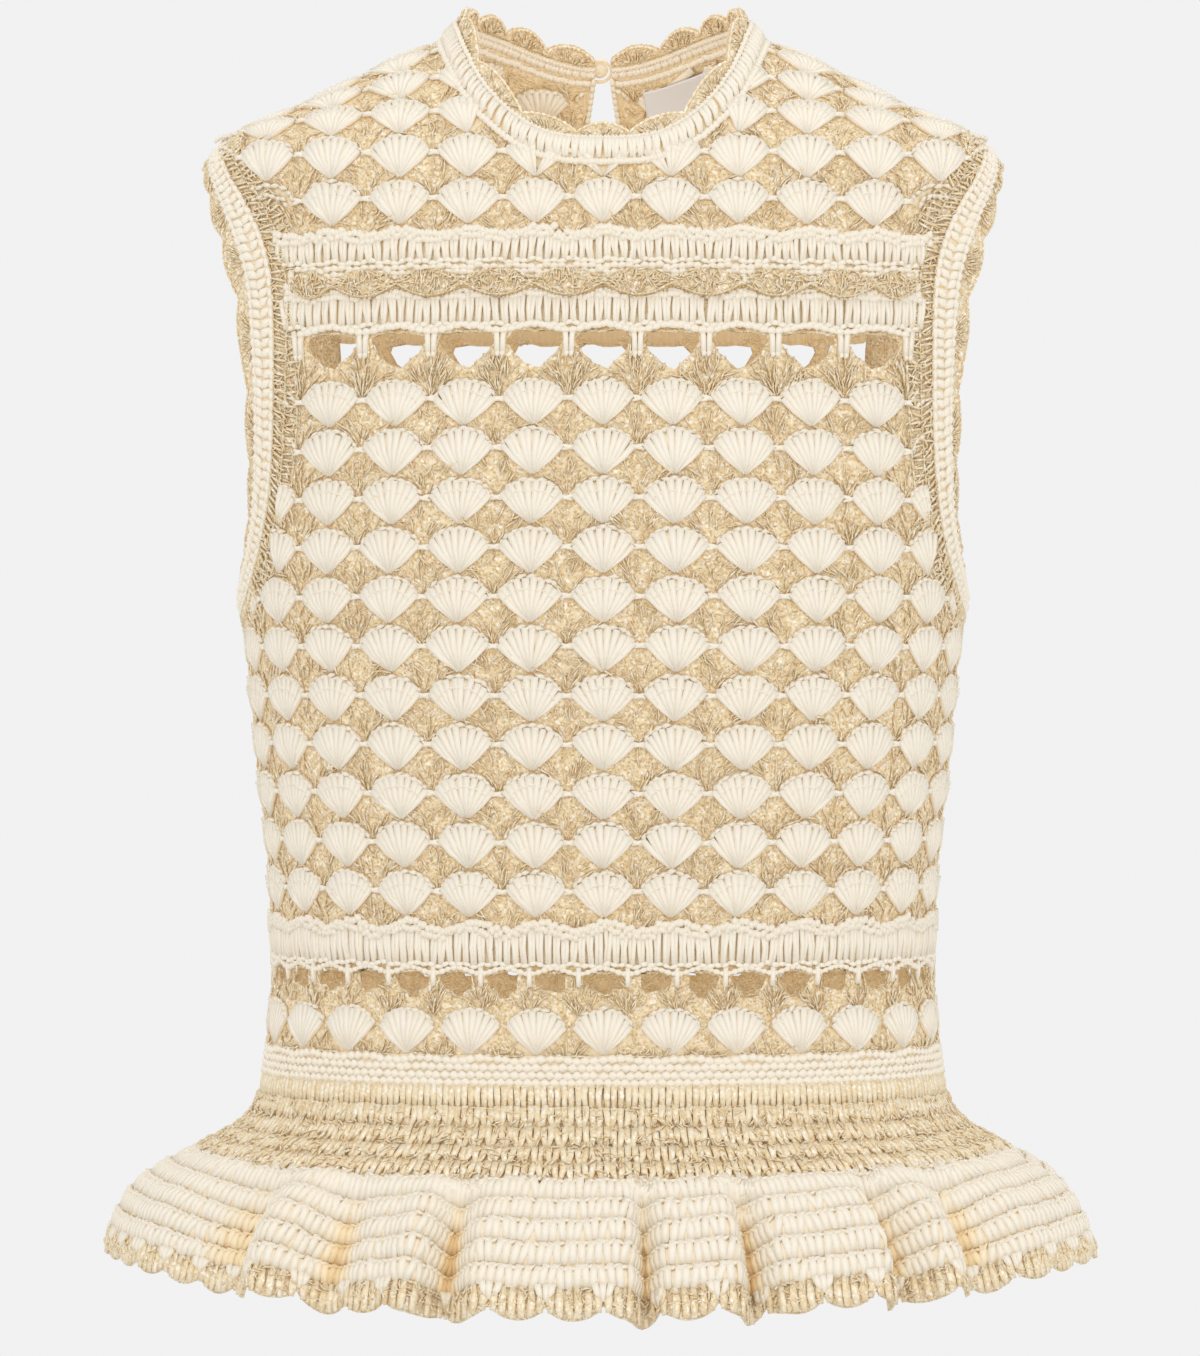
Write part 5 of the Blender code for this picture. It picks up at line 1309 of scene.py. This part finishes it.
def hem(surface, finishes):
    """Gold scallops with upright ribs, an arched edge, and cream points that reach down between them."""
    per_scallop, rows, ribs = 10, 5, 6
    turned = np.arange(HEM_SCALLOPS * per_scallop) / (HEM_SCALLOPS * per_scallop)
    u = np.interp(turned, surface.turn / (2 * pi), surface.u)
    tip = HEM_NOTCH - 1.0 + (HEM_TIP - HEM_NOTCH + 1.6) * abs(sin(turned * HEM_SCALLOPS * pi)) ** 0.6
    distance = RUFFLE_END - 0.6 + (tip - RUFFLE_END + 0.6) * np.linspace(1, 0, rows)[:, None]
    points, _ = surface.at(np.broadcast_to(u, distance.shape), -distance, 0.3)
    sheet = make_piece("hem_scallop_cloth", points.reshape(-1, 3), [grid_faces(rows, len(u), ring=True)],
                       finishes["gold_ground"])
    thicken(sheet, 1.0)
    gold = Yarn(113)
    turned = (np.arange(HEM_SCALLOPS * ribs) + 0.5) / (HEM_SCALLOPS * ribs)
    u = np.interp(turned, surface.turn / (2 * pi), surface.u)[:, None]
    tip = (HEM_NOTCH + (HEM_TIP - HEM_NOTCH) * abs(sin(turned * HEM_SCALLOPS * pi)) ** 0.6)[:, None]
    foot = RUFFLE_END - 0.4
    jitter = gold.random.normal(0, 0.0002, (len(u), 3))
    gold.lay(surface, u + jitter, -(foot + (tip - foot) * np.array((0.0, 0.55, 1.0))), (0.6, 0.9, 0.6),
             (1.2, 1.9, 1.3), (0.6, 0.75, 0.5), 4)
    scatter(gold, surface, 1400, (0.0, 1.0), (-HEM_NOTCH - 0.6, -RUFFLE_END - 0.2), surface.length, 1.0, 1.6)
    strands = gold.make("hem_strands", finishes["gold"], "gold_yarn")
    cream = Yarn(111)
    notch = np.interp(np.arange(HEM_SCALLOPS) / HEM_SCALLOPS, surface.turn / (2 * pi), surface.u)[:, None]
    for lean in (-1, 0, 1):
        reach = RUFFLE_END + np.array((-1.5, 1.8, 4.0 + 1.6 * (lean == 0)))
        cream.lay(surface, notch + lean * np.array((0.0024, 0.0017, 0.0009)) + cream.random.normal(0, 0.0003, (HEM_SCALLOPS, 1)),
                  -reach, (1.3, 1.6, 1.1), (1.6, 1.5, 0.7), (0.9, 0.9, 0.6), 4)
    tips = cream.make("hem_cream_points", finishes["cream"], "cream_cotton")
    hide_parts("hem_scallops")


def threads(made, lines=7.0):
    """Tangled strands: the contour lines of two smooth noises; where they cross the higher one shows."""
    heights = []
    for shift in (0.0, 0.37):
        where = made.node("ShaderNodeVectorMath", {"operation": "ADD"}, {0: made.place(), 1: (shift, shift, shift)})
        ridge = 1.0 - ((made.noise(210.0, 1.0, where) * lines).fraction() - 0.5).size() * 2.0
        heights.append(ridge)
    return heights[0].most(heights[1] * 0.85)


def gold_ground(name, lift=0.0):
    """Ground of a gold trim: tangled strands with painted shade between them and painted glints; lift makes its low
    parts paler.
    """
    made = Finish(name, Base_Color=(*GOLD_MID, 1), Roughness=0.6, Metallic=0.1, **FAINT_PAINTED_GLOW)
    strands = threads(made)
    colour, glint = gold_strand(made, (strands + lift).clamped(), made.noise(60.0))
    made.feed("Base Color", colour)
    made.feed("Roughness", 0.6 - glint * 0.3)
    made.feed("Normal", made.bump(strands, 0.0009, 0.7))
    return made.material


def lay_pads(yarn, cloth, u0, v0, keep):
    """Low pillows under the cream fans: a domed grid on each fan's outline, closed by one face below."""
    q, share = np.meshgrid((-1.05, -0.6, 0.0, 0.6, 1.05), (0.05, 0.40, 0.80, 1.02))
    aside, up = rim_place(q, share)
    dome = np.array((0.0, 0.9, 1.0, 0.9, 0.0)) * np.array((0.0, 1.4, 2.0, 1.1))[:, None]
    points, _ = cloth.at(u0[:, None, None] + aside, v0[:, None, None] + up, 0.15 + dome)
    points = points[keep(points.reshape(len(u0), -1, 3))]
    fans, rows, columns = points.shape[:3]
    index = yarn.count + np.arange(fans * rows * columns).reshape(fans, rows, columns)
    quads = np.stack((index[:, :-1, :-1], index[:, :-1, 1:], index[:, 1:, 1:], index[:, 1:, :-1]), -1).reshape(-1, 4)
    rim = np.concatenate((index[:, 0], index[:, 1:, -1], index[:, -1, -2::-1], index[:, -2:0:-1, 0]), 1)[:, ::-1]
    # the pads get a middling painted warm shade, seen in the slots between posts
    yarn.add(points.reshape(-1, 3), [quads, rim], np.repeat(yarn.random.random(fans), rows * columns),
             np.full(fans * rows * columns, 0.62))


def lay_edges(yarn, cloth, rise, keep):
    """Bars between the openings, and the bumpy arched edge of the band over them."""
    bars = np.arange(-CHEST_HOLES, CHEST_HOLES + 1, 2.0)[:, None]
    for lean in (-1, 1):
        yarn.lay(cloth, bars + lean * np.array((0.13, 0.085, 0.08)),
                 np.array((-127.5, -132.0, -138.0)) + rise - YOKE_LINE, (1.2, 1.5, 1.0), 1.2, 1.0, 4)
        yarn.lump(cloth, bars + lean * 0.07, -138.4 + rise - YOKE_LINE, 0.03, 1.2, 1.2, 1.0, 1.6)
    lay_cord(yarn, cloth, lambda u: -127.6 + rise - YOKE_LINE + 1.2 * cos(pi * u), 1.7, None, lift=1.7,
             span=(-CHEST_HOLES, CHEST_HOLES), steps=9 * CHEST_HOLES)
    pitch = 2 * FANS_PER_HALF / WAIST_HOLES
    edges = np.linspace(-1, 1, 2 * WAIST_HOLES + 1)[::2][1:-1, None] * FANS_PER_HALF
    yarn.lay(cloth, edges + np.zeros(3), np.array((-391.5, -396.0, -399.5)) - YOKE_LINE, (1.2, 1.5, 1.0), 1.1, 1.0, 4)
    lay_cord(yarn, cloth, lambda u: -393.0 - YOKE_LINE - 1.2 * cos(2 * pi * (u + FANS_PER_HALF) / pitch), 1.3, keep,
             lift=1.4, steps=8 * WAIST_HOLES)


def bind_keyhole(yarn):
    """A cord of lumps round the slit: down one edge, round its belly and up the other."""
    straight = np.linspace(-9.0, KEYHOLE_WIDEST, 30)
    turn = np.linspace(0, pi, 40)
    side_x = np.interp(straight, (KEYHOLE_WIDEST, KEYHOLE_STRAIGHT), (KEYHOLE_BELLY, KEYHOLE_NECK))
    x = np.concatenate((side_x, KEYHOLE_BELLY * cos(turn[1:-1]), -side_x[::-1]))
    z = np.concatenate((straight, KEYHOLE_WIDEST - (KEYHOLE_WIDEST - KEYHOLE_BOTTOM) * sin(turn[1:-1]), straight[::-1]))
    way = way_along(x, z)
    count = int(way[-1] / 2.6)
    at = (np.arange(count)[:, None] + 0.5 + 0.7 * LUMP_ALONG) * way[-1] / count
    x, z = np.interp(at, way, x), np.interp(at, way, z)
    for lift in (0.9, -1.6):
        centres = np.stack((x, depth_at(x, z, 1) + lift, z), -1)
        outward = np.broadcast_to(np.array((0, 0.93, 0.37)) * np.sign(lift), centres.shape)
        yarn.tube(centres, outward, 1.3 * LUMP_ROUND + 0 * at, 1.1 * LUMP_ROUND + 0 * at)


def neck_place(turn, inward):
    """The neck in plan, from the centre front towards +X: a rounded oblong in front, an ellipse behind."""
    sine, cosine = sin(turn), cos(turn)
    k = np.where(cosine > 0, NECK_SQUARENESS, 2.0)
    size = (abs(sine) ** k + abs(cosine) ** k) ** (-1 / k)
    return (NECK_HALF_WIDTH - inward) * size * sine, NECK_CENTRE - (NECK_HALF_DEPTH - inward) * size * cosine


def beyond_neck(turn, distances):
    """Rows of points down the cloth from the neck's edge, straight outwards in plan from its ellipse."""
    x, y = neck_place(turn[:, None], -np.linspace(0.0, 50.0, 101))
    z = height_on_body(x, y)
    way = way_along(x, y, z)
    columns = [np.stack([np.interp(distances, way[k], axis[k]) for axis in (x, y, z)], -1) for k in range(len(turn))]
    return np.array(columns).transpose(1, 0, 2)


def neck_reach(u):
    """Edge of the neck's scallops: an arch of a sine to the power 0.7 over each."""
    return 0.26 + 0.74 * abs(sin(u * NECK_SCALLOPS * pi)) ** 0.7


def armhole_reach(surface, u):
    """Edge of an armhole's scallops: an arch of a sine to the power 0.8 over each, evenly round the turn."""
    turned = np.interp(u % 1.0, surface.u, np.linspace(0, 1, len(surface.u)))
    return NOTCH_SHARE + (1 - NOTCH_SHARE) * abs(sin(turned * ARMHOLE_SCALLOPS * pi)) ** 0.8


def valley(surface, u, distance):
    """How deep in a fold's valley a place of the ruffle lies: 0 on the crests, about 1 at the bottom."""
    turn = np.interp(u % 1.0, surface.u, surface.turn)
    return np.clip(-fold_height(turn, distance) / 7.0 - 0.35, 0, 1) * 1.15


# ---------------------------------------------------------------- stage
def stage():
    """A pale round floor well under the top, a pale sky all round, and three large soft lights."""
    turn = np.arange(96) * 2 * pi / 96
    radii = np.linspace(0, 1, 9)[1:]
    ring = np.stack((cos(turn), sin(turn), 0 * turn), -1) * 1350.0
    points = np.concatenate(([[0, 0, -760.0]], *[ring * r + (0, 0, -760.0) for r in radii]))
    first = np.stack((np.zeros(96, int), 1 + np.arange(96), 1 + (np.arange(96) + 1) % 96), -1)
    faces = grid_faces(8, 96, ring=True)[:, ::-1] + 1
    floor_finish = Finish("pale_floor", Base_Color=(0.86, 0.86, 0.86, 1), Roughness=0.9)
    mesh = bpy.data.meshes.new("floor")
    mesh.from_pydata((points * MM).tolist(), [], first.tolist() + faces.tolist())
    mesh.materials.append(floor_finish.material)
    floor = bpy.data.objects.new("floor", mesh)
    bpy.context.scene.collection.objects.link(floor)

    world = bpy.data.worlds.new("pale_sky")
    world.use_nodes = True
    sky = world.node_tree.nodes["Background"].inputs
    sky["Color"].default_value = (0.885, 0.885, 0.885, 1)
    sky["Strength"].default_value = 1.0
    bpy.context.scene.world = world
    for name, place, size, power in (("key", (-0.9, -2.4, 1.1), 1.6, 10.0), ("fill", (1.6, -2.0, 0.2), 1.8, 6.0),
                                     ("top", (0.0, 0.3, 2.2), 2.0, 6.0)):
        lamp = bpy.data.lights.new(name, "AREA")
        lamp.shape, lamp.size, lamp.energy = "DISK", size, power
        thing = bpy.data.objects.new(name, lamp)
        thing.location = place
        towards = np.array((0, 0, -0.27)) - np.array(place)
        thing.rotation_euler = (np.arctan2(np.hypot(*towards[:2]), -towards[2]), 0, np.arctan2(-towards[0], towards[1]))
        bpy.context.scene.collection.objects.link(thing)
    lamp = bpy.data.lights.new("inner", "POINT")
    lamp.energy, lamp.shadow_soft_size = 0.05, 0.04
    thing = bpy.data.objects.new("inner", lamp)
    thing.location = (0, 0, -0.03)
    thing.visible_camera = False
    bpy.context.scene.collection.objects.link(thing)


def camera():
    """Level view along +Y at the height of the top's middle."""
    lens = bpy.data.cameras.new("camera")
    lens.sensor_fit = "HORIZONTAL"
    lens.sensor_width = 36.0
    lens.lens = 174.4
    thing = bpy.data.objects.new("camera", lens)
    thing.location = (-0.0013, -2.5, -0.272)
    thing.rotation_euler = (pi / 2, 0, 0)
    bpy.context.scene.collection.objects.link(thing)
    bpy.context.scene.camera = thing


def main():
    camera()
    stage()
    bpy.context.scene.view_settings.view_transform = "Standard"
    cream, gold = cream_cotton(), gold_yarn()
    finishes = {
        "cream": cream, "gold": gold, "panel": panel_cloth(), "puffy": puffy_cotton(), "satin": white_satin(),
        "cream_ground": ground("cream_ground", CREAM_MID, CREAM_WARM),
        "gold_ground": gold_ground("gold_ground", 0.15), "dark_ground": gold_ground("deep_gold_ground", -0.10),
    }
    for side in (-1, 1):
        panel(side, finishes)
    for side in (-1, 1):
        flap(side, finishes)
    neck(finishes)
    fastening(finishes)
    label(finishes)
    for side in (-1, 1):
        armhole(side, finishes)
    waistband(finishes)
    peplum(finishes)


main()
